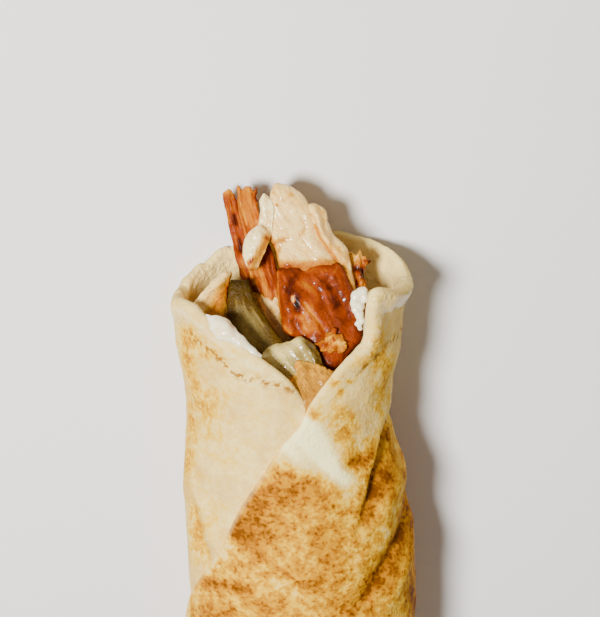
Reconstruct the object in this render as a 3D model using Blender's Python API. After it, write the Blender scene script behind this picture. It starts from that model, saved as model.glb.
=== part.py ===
"""A gyro wrap: a round flatbread rolled about roast chicken, pickle and garlic sauce.

It lies on its back as on a table. The roll runs along Y, with its open mouth towards +Y, and the lapels
of the bread cross on top, towards +Z. The origin is on the flat underside, below the middle of the roll.
Sizes are in millimetres and angles in degrees, and mesh_object turns them into metres.
"""

import math

import bmesh
import bpy
import numpy as np
from mathutils import Matrix, Vector, noise

MM = 0.001

# The flatbread, as baked
SHEET = 2.1
TURN_GAP = 0.4
EDGE_ROUND = 1.5
EDGE_LEAST = 0.14

# The roll's outer form: (place along Y, size) stations, joined by smooth curves
LEFT_SIDE = ((-97, -29.5), (-55, -33), (-20, -33.8), (2, -35.1), (20, -35.7), (40, -34.2), (60, -36.8), (92, -36.4))
RIGHT_SIDE = ((-97, 29), (-55, 33), (-20, 34.8), (0, 33.6), (20, 30.8), (43, 26.4), (60, 28.9), (92, 31.4))
CROWN = ((-97, 45), (-55, 50), (0, 52.5), (50, 51), (92, 52))
UNDERSIDE = -5.0
FLOOR = -1.7
FLOOR_BLEND = 2.0

# The closed end, rounded over and drawn in to a flat seam
SHOULDER = -63.0
END_DEPTH = 22.0
END_TURN = END_DEPTH * math.pi / 2
SEAM_WIDTH = 0.55
SEAM_HEIGHT = 0.03
PLEATS = 7
PLEAT_HEIGHT = 0.9

# The bread's edge, as (angle round the roll, place along Y). 0 is the crown and 90 the right-hand side.
# It climbs the front as the outer lapel, goes round the mouth, and dives under as the inner lapel.
EDGE = (
    (-115, -50), (-97, -34), (-78, -19), (-54, -4.5), (-40, 5.7), (-31, 15), (-21.5, 24), (-12, 31.8),
    (-4.5, 37.8), (3, 42.4), (7.5, 45), (12, 50), (17.5, 54.8), (22.5, 58.5), (29, 63), (35, 65.3),
    (40, 67.5), (41.3, 71), (41, 76), (42, 81), (47, 82.8), (59.5, 81), (74.5, 79.8), (92, 80.2),
    (112, 83), (140, 84.5), (175, 86), (212, 81.5), (230, 78.8), (250, 75.5), (269, 74.2), (289, 76),
    (303, 76.2), (313, 74), (328, 70), (345, 65), (360, 59), (369, 53), (377, 45), (384, 34),
)
LAST_ANGLE = EDGE[-1][0]
FIRST_ANGLE = EDGE[0][0]

# Lips: (angle, how much thicker the edge is) stations
LIP = ((-115, 0), (-10, 0), (22, 0.4), (42, 1.5), (70, 1.3), (110, 0.5), (200, 0.15), (240, 0.3),
       (285, 0.9), (320, 0.8), (350, 0.25), (384, 0))
LIP_REACH = 3.2
LIP_WIDTH = 3.4

# Folds pressed into the outer face: (points as (angle, place along Y), height of the side on the left
# of the line's direction, depth of the side on the right, width of each side)
FOLDS = (
    (((125, 52), (104, 48), (88, 44), (68, 39.8), (60, 35.5), (52, 31.2), (47, 28.2), (43, 24), (40, 21), (35, 15.8)), -3.0, -0.7, 5.0),
    (((112, 24), (92, 22), (72, 21), (56, 18.2), (44, 13.2), (26, 4.5), (6, -1.8)), 1.0, -1.0, 3.8),
    (((100, 16), (84, 10), (66, 4.5), (57, 0.8), (47, -3.8), (41, -7), (34, -10.8), (23, -11)), -1.0, 2.7, 4.5),
    (((104, 6), (88, 3), (70, -3), (60, -7), (50, -12), (42, -15), (34, -18)), 1.0, -1.0, 3.2),
    (((32, 31.2), (39, 31.6), (46, 32.5)), -1.2, 0.2, 2.6),
    (((11, 1.8), (25, 2.8), (36, 7.2), (42, 10.5)), -0.7, 0.4, 2.0),
    (((-70, 25.5), (-62, 23), (-54, 19.2), (-50, 17), (-47, 13.8), (-45, 9), (-42, 7.2), (-38, 5)), -0.3, -1.5, 4.5),
    (((-72, 14), (-66, 12.8), (-61, 8.2), (-60, 3.5), (-56, 1), (-50, -2.5)), -1.5, 1.0, 3.0),
)
FOLD_EDGE = 0.8
FOLD_SCALE = 30.0

# Between these angles the sheet passes below its outer turn, where nothing can be raised
COVERED = (322, 345)

COLUMNS = 74
ROWS_FROM_EDGE = (
    0, 0.003, 0.009, 0.02, 0.037, 0.065, 0.1, 0.145, 0.195, 0.245, 0.295, 0.345, 0.4, 0.46, 0.53, 0.61,
    0.7, 0.77, 0.835, 0.895, 0.95, 1,
)


# The filling leans up out of the mouth: its pieces are drawn in a plane turned by this about X, through a point
FILLING_LEAN = 20
FILLING_ORIGIN = (0, 71, 26)
FILLING_LEAN_FRAME = Matrix.Translation(FILLING_ORIGIN) @ Matrix.Rotation(-math.radians(FILLING_LEAN), 4, "X")
CLEARANCE = 0.35
PIECE_VOXEL = 0.8
SOFTENING = 4
CORE_SIDES = 24
CORE_CLEARANCE = 1.3
SPARE = 1.5
CORE_TOP = 53
CORE_SLOPE = 9
CORE_RINGS = (-92, -86, -79, -72, -65, -56, -42, -26, -10, 6, 20, 32)
CORE_TOP_RINGS = (0.86, 0.62, 0.38, 0.14)
CORE_LUMP = 3.0

# Outlines of the pieces as seen from above the mouth, as (across, up) from the filling's origin
CHUNK_WHITE = (
    (-8.4, 33.2), (-7.8, 35.1), (-5.6, 35.4), (-3.1, 33.7), (-0.3, 32.3), (1.7, 30.4), (2.5, 27.6), (5, 22.5),
    (8.7, 16.4), (11.8, 9.4), (5.6, 6.6), (-4.2, 6.6), (-6.4, 10.2), (-5.6, 13), (-6.4, 14.7), (-8.1, 17.8),
    (-9.5, 19.7), (-10.6, 23.4), (-10.6, 28.1), (-9, 30.9),
)
CHUNK_ROASTED = (
    (-6.4, 11.3), (-2.8, 13), (1.4, 12.2), (5, 13), (9.8, 13), (12.6, 10.2), (14.6, 5.2), (16.2, 1), (17.4, -4.6),
    (17.6, -11.1), (14.6, -16), (9.8, -17), (5, -14.7), (0, -12.8), (-4.2, -6), (-5.3, -0.4), (-6.2, 6.6),
)
CHICKEN_CURL = (
    (-10.6, 28.4), (-12.3, 27.6), (-12.9, 24.2), (-12.6, 19.7), (-14.3, 18.3), (-15.4, 16.4), (-16, 14.1),
    (-15.7, 11.9), (-14.8, 9.9), (-13.2, 9.1), (-11.2, 10.8), (-9, 14.1), (-8.1, 16.9), (-9, 19), (-10.1, 24.2),
    (-10.1, 27.6),
)
ROAST_LONG = (
    (-21.8, 33.2), (-20.4, 34), (-18.8, 33.2), (-16.8, 27), (-15.1, 20.6), (-13.4, 15), (-10.5, 2.4), (-10.5, -6),
    (-14.5, -6), (-15.1, 6), (-16.8, 11.3), (-19, 19.2), (-21.3, 29),
)
ROAST_FRAYED = (
    (-17.6, 34.3), (-16.7, 34.6), (-16, 32.3), (-15.4, 33.7), (-14, 34.3), (-12.9, 33.5), (-12.3, 32.3),
    (-11.6, 34.3), (-11.2, 27.6), (-10.6, 23.4), (-10.1, 17.8), (-9, 13), (-7, 6.6), (-5.3, 2.4), (-5.6, 0.7),
    (-9, 0.1), (-12, 1.8), (-14, 6.6), (-15.1, 13), (-16.2, 20.6), (-17.4, 27.6),
)
CHICKEN_SLICE = (
    (-13, 5), (-6.5, 5), (-4.8, -3.2), (-3.6, -7.4), (-2, -10.5), (-2.8, -14), (-7, -15), (-10.5, -9), (-12, -2.7),
)
PICKLE_SPEAR = (
    (-19.9, 8), (-16.8, 8.3), (-14, 7.7), (-13.4, 4.6), (-12, 1), (-10.4, -2.7), (-8.4, -6), (-5.6, -10.2),
    (-4.2, -13.3), (-5, -19), (-9, -19), (-15.1, -13.3), (-17.4, -8.8), (-19.6, -3.8), (-20.4, -0.4), (-20.2, 3.8),
)
CHICKEN_SIDE = (
    (-20.7, 9.9), (-18.8, 10.2), (-17.9, 6.6), (-17.9, 2.4), (-18.5, -3.2), (-17.9, -11), (-21.3, -12),
    (-24.6, -8), (-28, -2.7), (-30, 0.7), (-27.2, 4.3), (-24.4, 7.4),
)
PICKLE_ROUND = (
    (-10.6, -13.3), (-8.4, -11.1), (-4.2, -9.4), (-0.6, -7.7), (2.8, -9.4), (4.8, -11.1), (6.4, -15.3), (5, -18.9),
    (2.8, -21.7), (0, -23.4), (-3.4, -22.8), (-6.7, -20), (-9.5, -16.7),
)
CHICKEN_FRONT = (
    (-0.8, -16.1), (0, -14.4), (3.4, -14.4), (7.3, -16.9), (9.5, -17.2), (10.6, -18.9), (9, -22.8), (6.2, -27.5),
    (3.4, -31), (0.6, -29), (-2.8, -24.5), (-3.9, -20.9), (-1.7, -18.3),
)
CHICKEN_CRUMB = (
    (4.5, -9.7), (7, -7.7), (10.6, -5.7), (12.6, -7.7), (13.2, -10.5), (11.2, -11.9), (8.4, -11.6), (5.9, -10.8),
)
ROAST_END = (
    (12.9, 14.7), (15.7, 16.1), (17.4, 16.7), (18.2, 15.3), (20.3, 13.9), (18.8, 12.5), (17.9, 9.7), (18.9, 5.7),
    (18, -2), (15, -2), (14.6, 8.3), (13.4, 12.5),
)
CHICKEN_SLAB = (
    (2.2, 28.7), (3.4, 29.5), (5, 29), (6.7, 27.6), (7.6, 24.8), (8.1, 21.7), (10.6, 17.8), (12.9, 15.8),
    (13.7, 13), (14.8, 9.4), (16.2, 5.2), (17.4, 0), (17, -5), (15, -5), (14, 4.1), (10.1, 13.6), (7.3, 16.9),
    (5, 20.6), (3.4, 24.2),
)
DOLLOP = ((17.3, 3.0, 7.2), (15.7, 0.8, 7.4), (16.8, -2.2, 8.2), (16.0, -5.6, 8.4))

# Colours
BREAD = (0.78, 0.6, 0.34)
CHICKEN_WHITE = (0.8, 0.68, 0.52)
CHICKEN_TAN = (0.72, 0.48, 0.26)
ROAST = (0.5, 0.16, 0.02)
ROAST_GOLD = (0.62, 0.28, 0.03)
ROAST_DARK = (0.3, 0.07, 0.01)
PICKLE_DARK = (0.17, 0.12, 0.03)
PICKLE_PALE = (0.5, 0.48, 0.24)
SAUCE = (0.87, 0.83, 0.74)


def smooth_curve(stations, at):
    """Values of a smooth curve through (place, value) stations."""
    places, values = (np.array(row, float) for row in zip(*stations))
    slopes = np.gradient(values, places)
    at = np.clip(np.asarray(at, float), places[0], places[-1])
    i = np.clip(np.searchsorted(places, at) - 1, 0, len(places) - 2)
    step = places[i + 1] - places[i]
    t = (at - places[i]) / step
    return (
        (2 * t**3 - 3 * t**2 + 1) * values[i]
        + (t**3 - 2 * t**2 + t) * step * slopes[i]
        + (3 * t**2 - 2 * t**3) * values[i + 1]
        + (t**3 - t**2) * step * slopes[i + 1]
    )


def smooth_step(low, high, value):
    t = np.clip((value - low) / (high - low), 0, 1)
    return t * t * (3 - 2 * t)


def roll_form(angle, along):
    """Points of the roll's outer form. along is the place along Y, and past the shoulder the arc over the end."""
    turn = np.radians(angle)
    over = np.clip((SHOULDER - along) / END_DEPTH, 0, math.pi / 2)
    closing = 1 - np.cos(over)
    y = np.maximum(along, SHOULDER) - END_DEPTH * np.sin(over)
    left = smooth_curve(LEFT_SIDE, y)
    right = smooth_curve(RIGHT_SIDE, y)
    crown = smooth_curve(CROWN, y)
    half_width = (right - left) / 2 * (1 - (1 - SEAM_WIDTH) * closing)
    half_height = (crown - UNDERSIDE) / 2 * (1 - (1 - SEAM_HEIGHT) * closing)
    x = (left + right) / 2 + half_width * np.sin(turn)
    z = (crown + UNDERSIDE) / 2 + half_height * np.cos(turn)
    above = z - FLOOR
    blended = (above + FLOOR_BLEND) ** 2 / (4 * FLOOR_BLEND)
    above = np.where(above < -FLOOR_BLEND, 0, np.where(above > FLOOR_BLEND, above, blended))
    return np.stack([x, y, FLOOR + above], axis=-1)


def roll_normal(angle, along):
    """Outward unit normals of the roll's form."""
    step = 0.25
    across = roll_form(angle + step, along) - roll_form(angle - step, along)
    onward = roll_form(angle, along + step) - roll_form(angle, along - step)
    normal = np.cross(across, onward)
    return normal / np.maximum(np.linalg.norm(normal, axis=-1, keepdims=True), 1e-9)


def turn_offset(angle):
    """How far the sheet's outer face lies off the form: one turn further in is one sheet and a gap lower."""
    return -(SHEET + TURN_GAP) * np.asarray(angle, float) / 360


def distance_to_line(points, line):
    """For each point, its distance to a polyline, signed as left of it or right of it, and how far along it is."""
    best = np.full(points.shape[:-1], np.inf)
    signed = np.zeros(points.shape[:-1])
    along = np.zeros(points.shape[:-1])
    for i, (start, end) in enumerate(zip(line[:-1], line[1:])):
        run = end - start
        t = np.clip(((points - start) @ run) / (run @ run), 0, 1)
        off = points - (start + t[..., None] * run)
        far = np.linalg.norm(off, axis=-1)
        side = np.sign(run[0] * off[..., 1] - run[1] * off[..., 0])
        nearer = far < best
        best = np.where(nearer, far, best)
        signed = np.where(nearer, far * side, signed)
        along = np.where(nearer, (i + t) / (len(line) - 1), along)
    return signed, along


def fold_relief(angle, along):
    """Height of the folds and pleats on the sheet's outer face."""
    wrapped = (np.asarray(angle) + 180) % 360 - 180
    place = np.stack([np.radians(wrapped) * FOLD_SCALE, along], axis=-1)
    height = np.zeros(place.shape[:-1])
    for points, raised, sunk, width in FOLDS:
        line = np.array([(math.radians(a) * FOLD_SCALE, y) for a, y in points])
        off, t = distance_to_line(place, line)
        ends = np.sqrt(np.clip(np.sin(math.pi * np.clip(t, 0.02, 0.98)), 0, 1))
        near = np.exp(-((off / width) ** 2)) * ends
        side = smooth_step(-FOLD_EDGE, FOLD_EDGE, off)
        height += near * (raised * side - sunk * (1 - side))
    closing = smooth_step(SHOULDER, SHOULDER - END_TURN, along)
    pleats = np.sin(np.radians(wrapped) * PLEATS + 0.9 * np.sin(np.radians(2 * wrapped)))
    return height + PLEAT_HEIGHT * pleats * closing * (1.1 - closing)


def sheet_grid(columns, from_edge):
    """(angle, place along, distance to the nearest edge, angle there) over the sheet, as columns by rows."""
    knots = np.arange(len(EDGE))
    angles, places = (np.array(row, float) for row in zip(*EDGE))
    fine = np.linspace(0, knots[-1], 2000)
    edge_angle = smooth_curve(list(zip(knots, angles)), fine)
    edge_place = smooth_curve(list(zip(knots, places)), fine)
    stride = np.hypot(np.radians(np.diff(edge_angle)) * FOLD_SCALE, np.diff(edge_place))
    travelled = np.concatenate([[0], np.cumsum(stride)])
    even = np.linspace(0, travelled[-1], columns + 1)
    edge_angle = np.interp(even, travelled, edge_angle)
    edge_place = np.interp(even, travelled, edge_place)
    end_angle = np.linspace(FIRST_ANGLE, LAST_ANGLE, columns + 1)
    end_place = SHOULDER - END_TURN
    t = np.asarray(from_edge, float)[None, :]
    angle = edge_angle[:, None] * (1 - t) + end_angle[:, None] * t
    along = edge_place[:, None] * (1 - t) + end_place * t
    border = np.stack([np.radians(edge_angle) * FOLD_SCALE, edge_place], axis=-1)
    sides = np.array([(np.radians(a) * FOLD_SCALE, end_place) for a in (FIRST_ANGLE, LAST_ANGLE)])
    border = np.concatenate([sides[:1], border, sides[1:]])
    place = np.stack([np.radians(angle) * FOLD_SCALE, along], axis=-1)
    to_edge, reached = distance_to_line(place, border)
    edge_angle = np.concatenate([[FIRST_ANGLE], edge_angle, [LAST_ANGLE]])
    nearest = np.interp(reached, np.linspace(0, 1, len(border)), edge_angle)
    return angle, along, np.abs(to_edge), nearest


def sheet_faces(columns, from_edge):
    """The sheet's outer and inner face, each as columns by rows of points."""
    angle, along, to_edge, edge_angle = sheet_grid(columns, from_edge)
    form = roll_form(angle, along)
    normal = roll_normal(angle, along)
    lip = smooth_curve(LIP, edge_angle) * np.exp(-(((to_edge - LIP_REACH) / LIP_WIDTH) ** 2))
    relief = fold_relief(angle, along)
    relief = np.minimum(relief, 0) + np.maximum(relief, 0) * (1 - smooth_step(*COVERED, angle))
    outer = turn_offset(angle) + relief + 0.6 * lip
    inner = turn_offset(angle) - SHEET - 1.4 * lip + np.minimum(relief, 0) * 0.7
    middle = (outer + inner) / 2
    near_edge = np.clip(1 - to_edge / EDGE_ROUND, 0, 1)
    rounding = np.maximum(np.sqrt(1 - near_edge**2), EDGE_LEAST)
    faces = []
    for offset in (outer, inner):
        points = form + normal * (middle + (offset - middle) * rounding)[..., None]
        faces.append(points)
    faces[0][..., 2] = np.maximum(faces[0][..., 2], 0)
    return faces


def mesh_object(name, bm, colour, roughness=0.6):
    """Turns a bmesh in millimetres into an object in metres, with its own material."""
    bmesh.ops.recalc_face_normals(bm, faces=bm.faces)
    bmesh.ops.scale(bm, vec=(MM, MM, MM), verts=bm.verts)
    mesh = bpy.data.meshes.new(name)
    bm.to_mesh(mesh)
    bm.free()
    obj = bpy.data.objects.new(name, mesh)
    bpy.context.scene.collection.objects.link(obj)
    material = bpy.data.materials.new(name)
    material.use_nodes = True
    shader = material.node_tree.nodes["Principled BSDF"]
    shader.inputs["Base Color"].default_value = (*colour, 1)
    shader.inputs["Roughness"].default_value = roughness
    mesh.materials.append(material)
    mesh.shade_smooth()
    return obj


def add_face_grid(bm, points, flip):
    """One face of the sheet from a grid of points, and its boundary edges."""
    columns, rows = points.shape[:2]
    grid = bmesh.ops.create_grid(bm, x_segments=columns - 1, y_segments=rows - 1, size=1)["verts"]
    grid.sort(key=lambda v: (round(v.co.x * (columns - 1)), round(v.co.y * (rows - 1))))
    for vert, point in zip(grid, points.reshape(-1, 3)):
        vert.co = point
    faces = list({face for vert in grid for face in vert.link_faces})
    if flip:
        bmesh.ops.reverse_faces(bm, faces=faces)
    return [edge for edge in {e for f in faces for e in f.edges} if edge.is_boundary]


def make_flatbread():
    bm = bmesh.new()
    outer, inner = sheet_faces(COLUMNS, ROWS_FROM_EDGE)
    loops = add_face_grid(bm, outer, True) + add_face_grid(bm, inner, False)
    bmesh.ops.bridge_loops(bm, edges=loops)
    return mesh_object("flatbread", bm, BREAD, 0.7)


def evaluated(obj):
    """The object's mesh with its modifiers applied."""
    bpy.context.view_layer.update()
    graph = bpy.context.evaluated_depsgraph_get()
    return bpy.data.meshes.new_from_object(obj.evaluated_get(graph))


def settled(obj):
    """Applies the object's modifiers for good."""
    mesh = evaluated(obj)
    obj.modifiers.clear()
    obj.data = mesh
    return obj


def remeshed(obj, voxel):
    """Joins the overlapping shapes of an object into one skin of even small faces, and softens it."""
    skin = obj.modifiers.new("skin", "REMESH")
    skin.mode = "VOXEL"
    skin.voxel_size = voxel * MM
    soften = obj.modifiers.new("soften", "SMOOTH")
    soften.factor = 0.5
    soften.iterations = SOFTENING
    return settled(obj)


def thinned(obj, triangles):
    """Keeps about this many triangles, more of them where the surface bends."""
    obj.data.calc_loop_triangles()
    fewer = obj.modifiers.new("fewer", "DECIMATE")
    fewer.ratio = min(1, triangles / len(obj.data.loop_triangles))
    fewer.use_collapse_triangulate = True
    return settled(obj)


def roughened(obj, height, size, grain):
    """Moves each point in or out by noise. grain is how much longer the bumps are along the piece than across it."""
    bm = bmesh.new()
    bm.from_mesh(obj.data)
    bm.normal_update()
    moves = []
    for vert in bm.verts:
        place = Vector((vert.co.x, vert.co.y / grain, vert.co.z)) / (size * MM)
        moves.append(vert.normal * height * MM * noise.fractal(place, 1.0, 2.0, 2))
    for vert, move in zip(bm.verts, moves):
        vert.co += move
    bm.to_mesh(obj.data)
    bm.free()
    return obj


def add_slab(bm, outline, back, front, round_by):
    """A slab with rounded edges: its outline as seen from the front, and the depths of its two faces."""
    face = bm.faces.new([bm.verts.new((x, y, back)) for x, y in outline])
    raised = bmesh.ops.extrude_face_region(bm, geom=[face])["geom"]
    top = [v for v in raised if isinstance(v, bmesh.types.BMVert)]
    bmesh.ops.translate(bm, vec=(0, 0, front - back), verts=top)
    verts = set(top) | set(face.verts)
    faces = list({f for v in verts for f in v.link_faces})
    bmesh.ops.recalc_face_normals(bm, faces=faces)
    flat_edges = [e for e in {e for f in faces for e in f.edges} if abs(e.verts[0].co.z - e.verts[1].co.z) < 1e-6]
    bmesh.ops.bevel(
        bm, geom=flat_edges, offset=round_by, segments=2, profile=0.5, affect="EDGES", material=-1, clamp_overlap=True
    )


def make_piece(name, slabs, colour, triangles, slope=(0, 0), rough=(0.6, 5, 1.6), round_by=1.2, roughness=0.45):
    """A piece of filling from slabs that overlap. slope leans its faces by depth across and depth along."""
    bm = bmesh.new()
    for outline, back, front in slabs:
        add_slab(bm, outline, back, front, round_by)
    middle = sum((v.co for v in bm.verts), Vector()) / len(bm.verts)
    for vert in bm.verts:
        vert.co.z += slope[0] * (vert.co.x - middle.x) + slope[1] * (vert.co.y - middle.y)
    bmesh.ops.transform(bm, matrix=FILLING_LEAN_FRAME, verts=bm.verts)
    obj = mesh_object(name, bm, colour, roughness)
    remeshed(obj, PIECE_VOXEL)
    roughened(obj, *rough)
    return thinned(obj, triangles * SPARE), triangles


def largest_body(obj):
    """Drops the scraps that a cut leaves."""
    bm = bmesh.new()
    bm.from_mesh(obj.data)
    unseen = set(bm.verts)
    bodies = []
    while unseen:
        body = set()
        reached = [unseen.pop()]
        while reached:
            vert = reached.pop()
            body.add(vert)
            for edge in vert.link_edges:
                other = edge.other_vert(vert)
                if other in unseen:
                    unseen.remove(other)
                    reached.append(other)
        bodies.append(body)
    bodies.sort(key=len)
    for body in bodies[:-1]:
        bmesh.ops.delete(bm, geom=list(body), context="VERTS")
    bm.to_mesh(obj.data)
    bm.free()
    return obj


def boxes_meet(one, other):
    """Whether two objects' boxes in the scene come within a clearance of each other."""
    ends = []
    for obj in (one, other):
        corners = [obj.matrix_world @ Vector(corner) for corner in obj.bound_box]
        ends.append([(min(c[i] for c in corners), max(c[i] for c in corners)) for i in range(3)])
    reach = CLEARANCE * MM
    return all(a[0] < b[1] + reach and b[0] < a[1] + reach for a, b in zip(*ends))


def carved(obj, neighbours):
    """Cuts the object back from its neighbours, so that they touch face to face with a small clearance."""
    bpy.context.view_layer.update()
    for neighbour in neighbours:
        if not boxes_meet(obj, neighbour):
            continue
        cutter = neighbour.copy()
        cutter.data = neighbour.data.copy()
        bpy.context.scene.collection.objects.link(cutter)
        bm = bmesh.new()
        bm.from_mesh(cutter.data)
        bm.normal_update()
        for vert, normal in [(v, v.normal.copy()) for v in bm.verts]:
            vert.co += normal * CLEARANCE * MM
        bm.to_mesh(cutter.data)
        bm.free()
        cut = obj.modifiers.new("clearance", "BOOLEAN")
        cut.operation = "DIFFERENCE"
        cut.solver = "EXACT"
        cut.use_self = True
        cut.object = cutter
        settled(obj)
        bpy.data.objects.remove(cutter)
        largest_body(obj)
    return obj


def core_skin(angle, along):
    """Points of the filling's skin, just inside the innermost turn of the bread."""
    innermost = angle + 360 * (1 - smooth_step(LAST_ANGLE - 360, LAST_ANGLE - 335, angle))
    offset = turn_offset(innermost) - SHEET - CORE_CLEARANCE + np.minimum(fold_relief(angle, along), 0)
    return roll_form(angle, along) + roll_normal(angle, along) * offset[:, None]


def make_core():
    """The chicken that fills the roll, up to a rough slope inside the mouth."""
    angle = np.arange(0, 360, 360 / CORE_SIDES)
    stack = [core_skin(angle, np.full(CORE_SIDES, along)) for along in CORE_RINGS]
    skin = core_skin(angle, CORE_TOP - CORE_SLOPE * np.cos(np.radians(angle)))
    centre = skin.mean(axis=0)
    stack.append(skin)
    for share in CORE_TOP_RINGS:
        ring = centre + (skin - centre) * share
        ring[:, 1] += [CORE_LUMP * (0.5 + noise.fractal(Vector(point) / 7, 1.0, 2.0, 2)) for point in ring]
        stack.append(ring)
    bm = bmesh.new()
    rows = [[bm.verts.new(point) for point in ring] for ring in stack]
    for low, high in zip(rows[:-1], rows[1:]):
        for i in range(CORE_SIDES):
            j = (i + 1) % CORE_SIDES
            bm.faces.new((low[i], low[j], high[j], high[i]))
    bm.faces.new(rows[0])
    bm.faces.new(rows[-1])
    return mesh_object("chicken_core", bm, ROAST_DARK, 0.5)


def edge_points(first, last, count, inward):
    """Points along the bread's edge between two angles, this far inside its middle."""
    stations = [(a, y) for a, y in EDGE if a > 200]
    angle = np.linspace(first, last, count)
    along = smooth_curve(stations, angle)
    offset = turn_offset(angle) - SHEET / 2 - inward
    return roll_form(angle, along) + roll_normal(angle, along) * offset[:, None]


def make_sauce(name, centres, radii, triangles):
    """A dollop of garlic sauce, from balls run together."""
    bm = bmesh.new()
    for centre, radius in zip(centres, radii):
        ball = bmesh.ops.create_icosphere(bm, subdivisions=2, radius=radius)["verts"]
        bmesh.ops.translate(bm, vec=centre, verts=ball)
    obj = mesh_object(name, bm, SAUCE, 0.2)
    remeshed(obj, PIECE_VOXEL * 0.7)
    return thinned(obj, triangles * SPARE), triangles


def make_filling():
    """The pieces that show in the mouth, those in front first. Each later one is cut back from those before it."""
    bread = make_flatbread()
    bead = edge_points(311, 343, 9, 0.7)
    swell = (1.2, 1.6, 2.3, 2.6, 2.5, 2.8, 2.9, 2.5, 1.8)
    dollop = [FILLING_LEAN_FRAME @ Vector(place) for place in DOLLOP]
    placed = [bread]
    makers = [
        lambda: make_sauce("garlic_sauce_bead", bead, swell, 500),
        lambda: make_piece("chicken_front", [(CHICKEN_FRONT, 5, 12)], CHICKEN_TAN, 320, (0, -0.1)),
        lambda: make_piece("pickle_round", [(PICKLE_ROUND, 2.5, 10)], PICKLE_PALE, 360, (0.1, -0.1), (0.3, 4, 1)),
        lambda: make_piece("chicken_crumb", [(CHICKEN_CRUMB, 3, 8.5)], ROAST, 220, rough=(0.7, 2.5, 1)),
        lambda: make_piece("chicken_curl", [(CHICKEN_CURL, -1, 6)], CHICKEN_WHITE, 320, (0.25, 0), round_by=2),
        lambda: make_piece(
            "chicken_chunk", [(CHUNK_WHITE, -9, 3), (CHUNK_ROASTED, -8, 5)], CHICKEN_WHITE, 900, (0, 0), (0.8, 7, 2)
        ),
        lambda: make_sauce("garlic_sauce_dollop", dollop, (2.1, 2.3, 2.0, 1.7), 220),
        lambda: make_piece("chicken_slab", [(CHICKEN_SLAB, -8, 2.5)], CHICKEN_WHITE, 420, (-0.3, 0), round_by=1.5),
        lambda: make_piece("pickle_spear", [(PICKLE_SPEAR, -1, 5)], PICKLE_DARK, 300, (0.1, -0.15), (0.3, 5, 3)),
        lambda: make_piece("chicken_slice", [(CHICKEN_SLICE, -7, -1.5)], CHICKEN_TAN, 260),
        lambda: make_piece("roast_strip_frayed", [(ROAST_FRAYED, -9, -3.5)], ROAST_GOLD, 460, (0, 0), (0.7, 2, 6), 0.8),
        lambda: make_piece("roast_strip_long", [(ROAST_LONG, -12.5, -7)], ROAST, 300, (0, 0), (0.5, 2.5, 6), 0.8),
        lambda: make_piece("chicken_side", [(CHICKEN_SIDE, -9, 3.5)], CHICKEN_WHITE, 360, (-0.3, 0), round_by=1.8),
        lambda: make_piece("roast_end", [(ROAST_END, -9, -1)], ROAST_DARK, 360, (0, 0), (0.9, 2.5, 1.5), 0.8),
    ]
    for make in makers:
        piece, triangles = make()
        carved(piece, placed)
        placed.append(thinned(piece, triangles))
    carved(make_core(), placed)


def main():
    for obj in list(bpy.data.objects):
        bpy.data.objects.remove(obj)
    make_filling()


main()
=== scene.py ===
"""Dresses a gyro wrap: a toasted flatbread rolled about roast chicken, pickle and garlic sauce.

The bread is one sheet that goes once round the roll and crosses over itself on the shown side. The pieces of
filling are drawn in a plane that leans back in the mouth, as seen from above it. Shapes are worked out in
millimetres and degrees, and turned into metres when a piece is finished.
"""

import math

import bmesh
import bpy
import numpy as np
from bpy.props import FloatProperty, FloatVectorProperty, IntProperty, PointerProperty
from mathutils import Matrix, Vector, noise


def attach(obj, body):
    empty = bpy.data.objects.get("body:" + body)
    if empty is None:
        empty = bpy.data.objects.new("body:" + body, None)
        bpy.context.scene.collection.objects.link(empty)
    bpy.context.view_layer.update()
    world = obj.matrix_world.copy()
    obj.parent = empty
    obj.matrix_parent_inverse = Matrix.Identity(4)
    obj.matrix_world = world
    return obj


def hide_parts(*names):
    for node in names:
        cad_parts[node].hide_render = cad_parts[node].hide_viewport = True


bl_info = {
    "name": "Gyro wrap",
    "version": (1, 0, 0),
    "blender": (4, 5, 0),
    "location": "View3D > Sidebar > Gyro wrap",
    "description": "Models a gyro wrap with its filling and a plain stage to show it on",
    "category": "Mesh",
}

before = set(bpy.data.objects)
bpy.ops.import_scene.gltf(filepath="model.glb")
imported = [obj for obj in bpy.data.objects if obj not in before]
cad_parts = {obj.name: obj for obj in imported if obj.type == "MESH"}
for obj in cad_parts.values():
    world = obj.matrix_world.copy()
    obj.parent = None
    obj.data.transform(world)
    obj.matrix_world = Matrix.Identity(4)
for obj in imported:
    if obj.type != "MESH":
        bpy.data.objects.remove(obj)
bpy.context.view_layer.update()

MM = 0.001

# How finely the forms are worked out, and how far apart in the noise two seeds lie
NORMAL_STEP = 0.25
NORMAL_LEAST = 1e-9
LEVEL_WITHIN = 1e-6
EDGE_SAMPLES = 2000
SEED_STEP = 37.3
SEED_PARTS = (1, 0.7, 0.3)

# The sheet's thickness, the gap between its turns, and how its edge is rounded and torn
SHEET = 2.1
TURN_GAP = 0.4
EDGE_ROUND = 1.5
EDGE_LEAST = 0.14
TEAR_WIDTH = 5.0

# Waves left in the dough by the griddle and by rolling: height and size
LUMP_HEIGHT = 0.55
LUMP_SIZE = 13.0
RIPPLE_HEIGHT = 0.22
RIPPLE_SIZE = 4.5
LIP_LUMPS = 0.35
WALL_LUMPS = 0.5
WALL_SIZE = 4.0
WALL_REACH = 30.0

# How the sheet's rows of faces crowd towards its edge
ROW_CROWDING = 0.35
ROW_POWER = 2.4

# Painted shade, as browning in the fold valleys, and browning over the part of the roll that lay on the
# griddle
VALLEY_TOAST = 0.17
VALLEY_DEEPEST = 3
BAKED = 0.4
BAKED_LEAST = 0.3
BAKED_BELOW = (44, 24)
BAKED_ROUND = (-80, -42)
OUTER_TURN = (230, 262)
SPECK_REACH = 1.2

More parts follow.
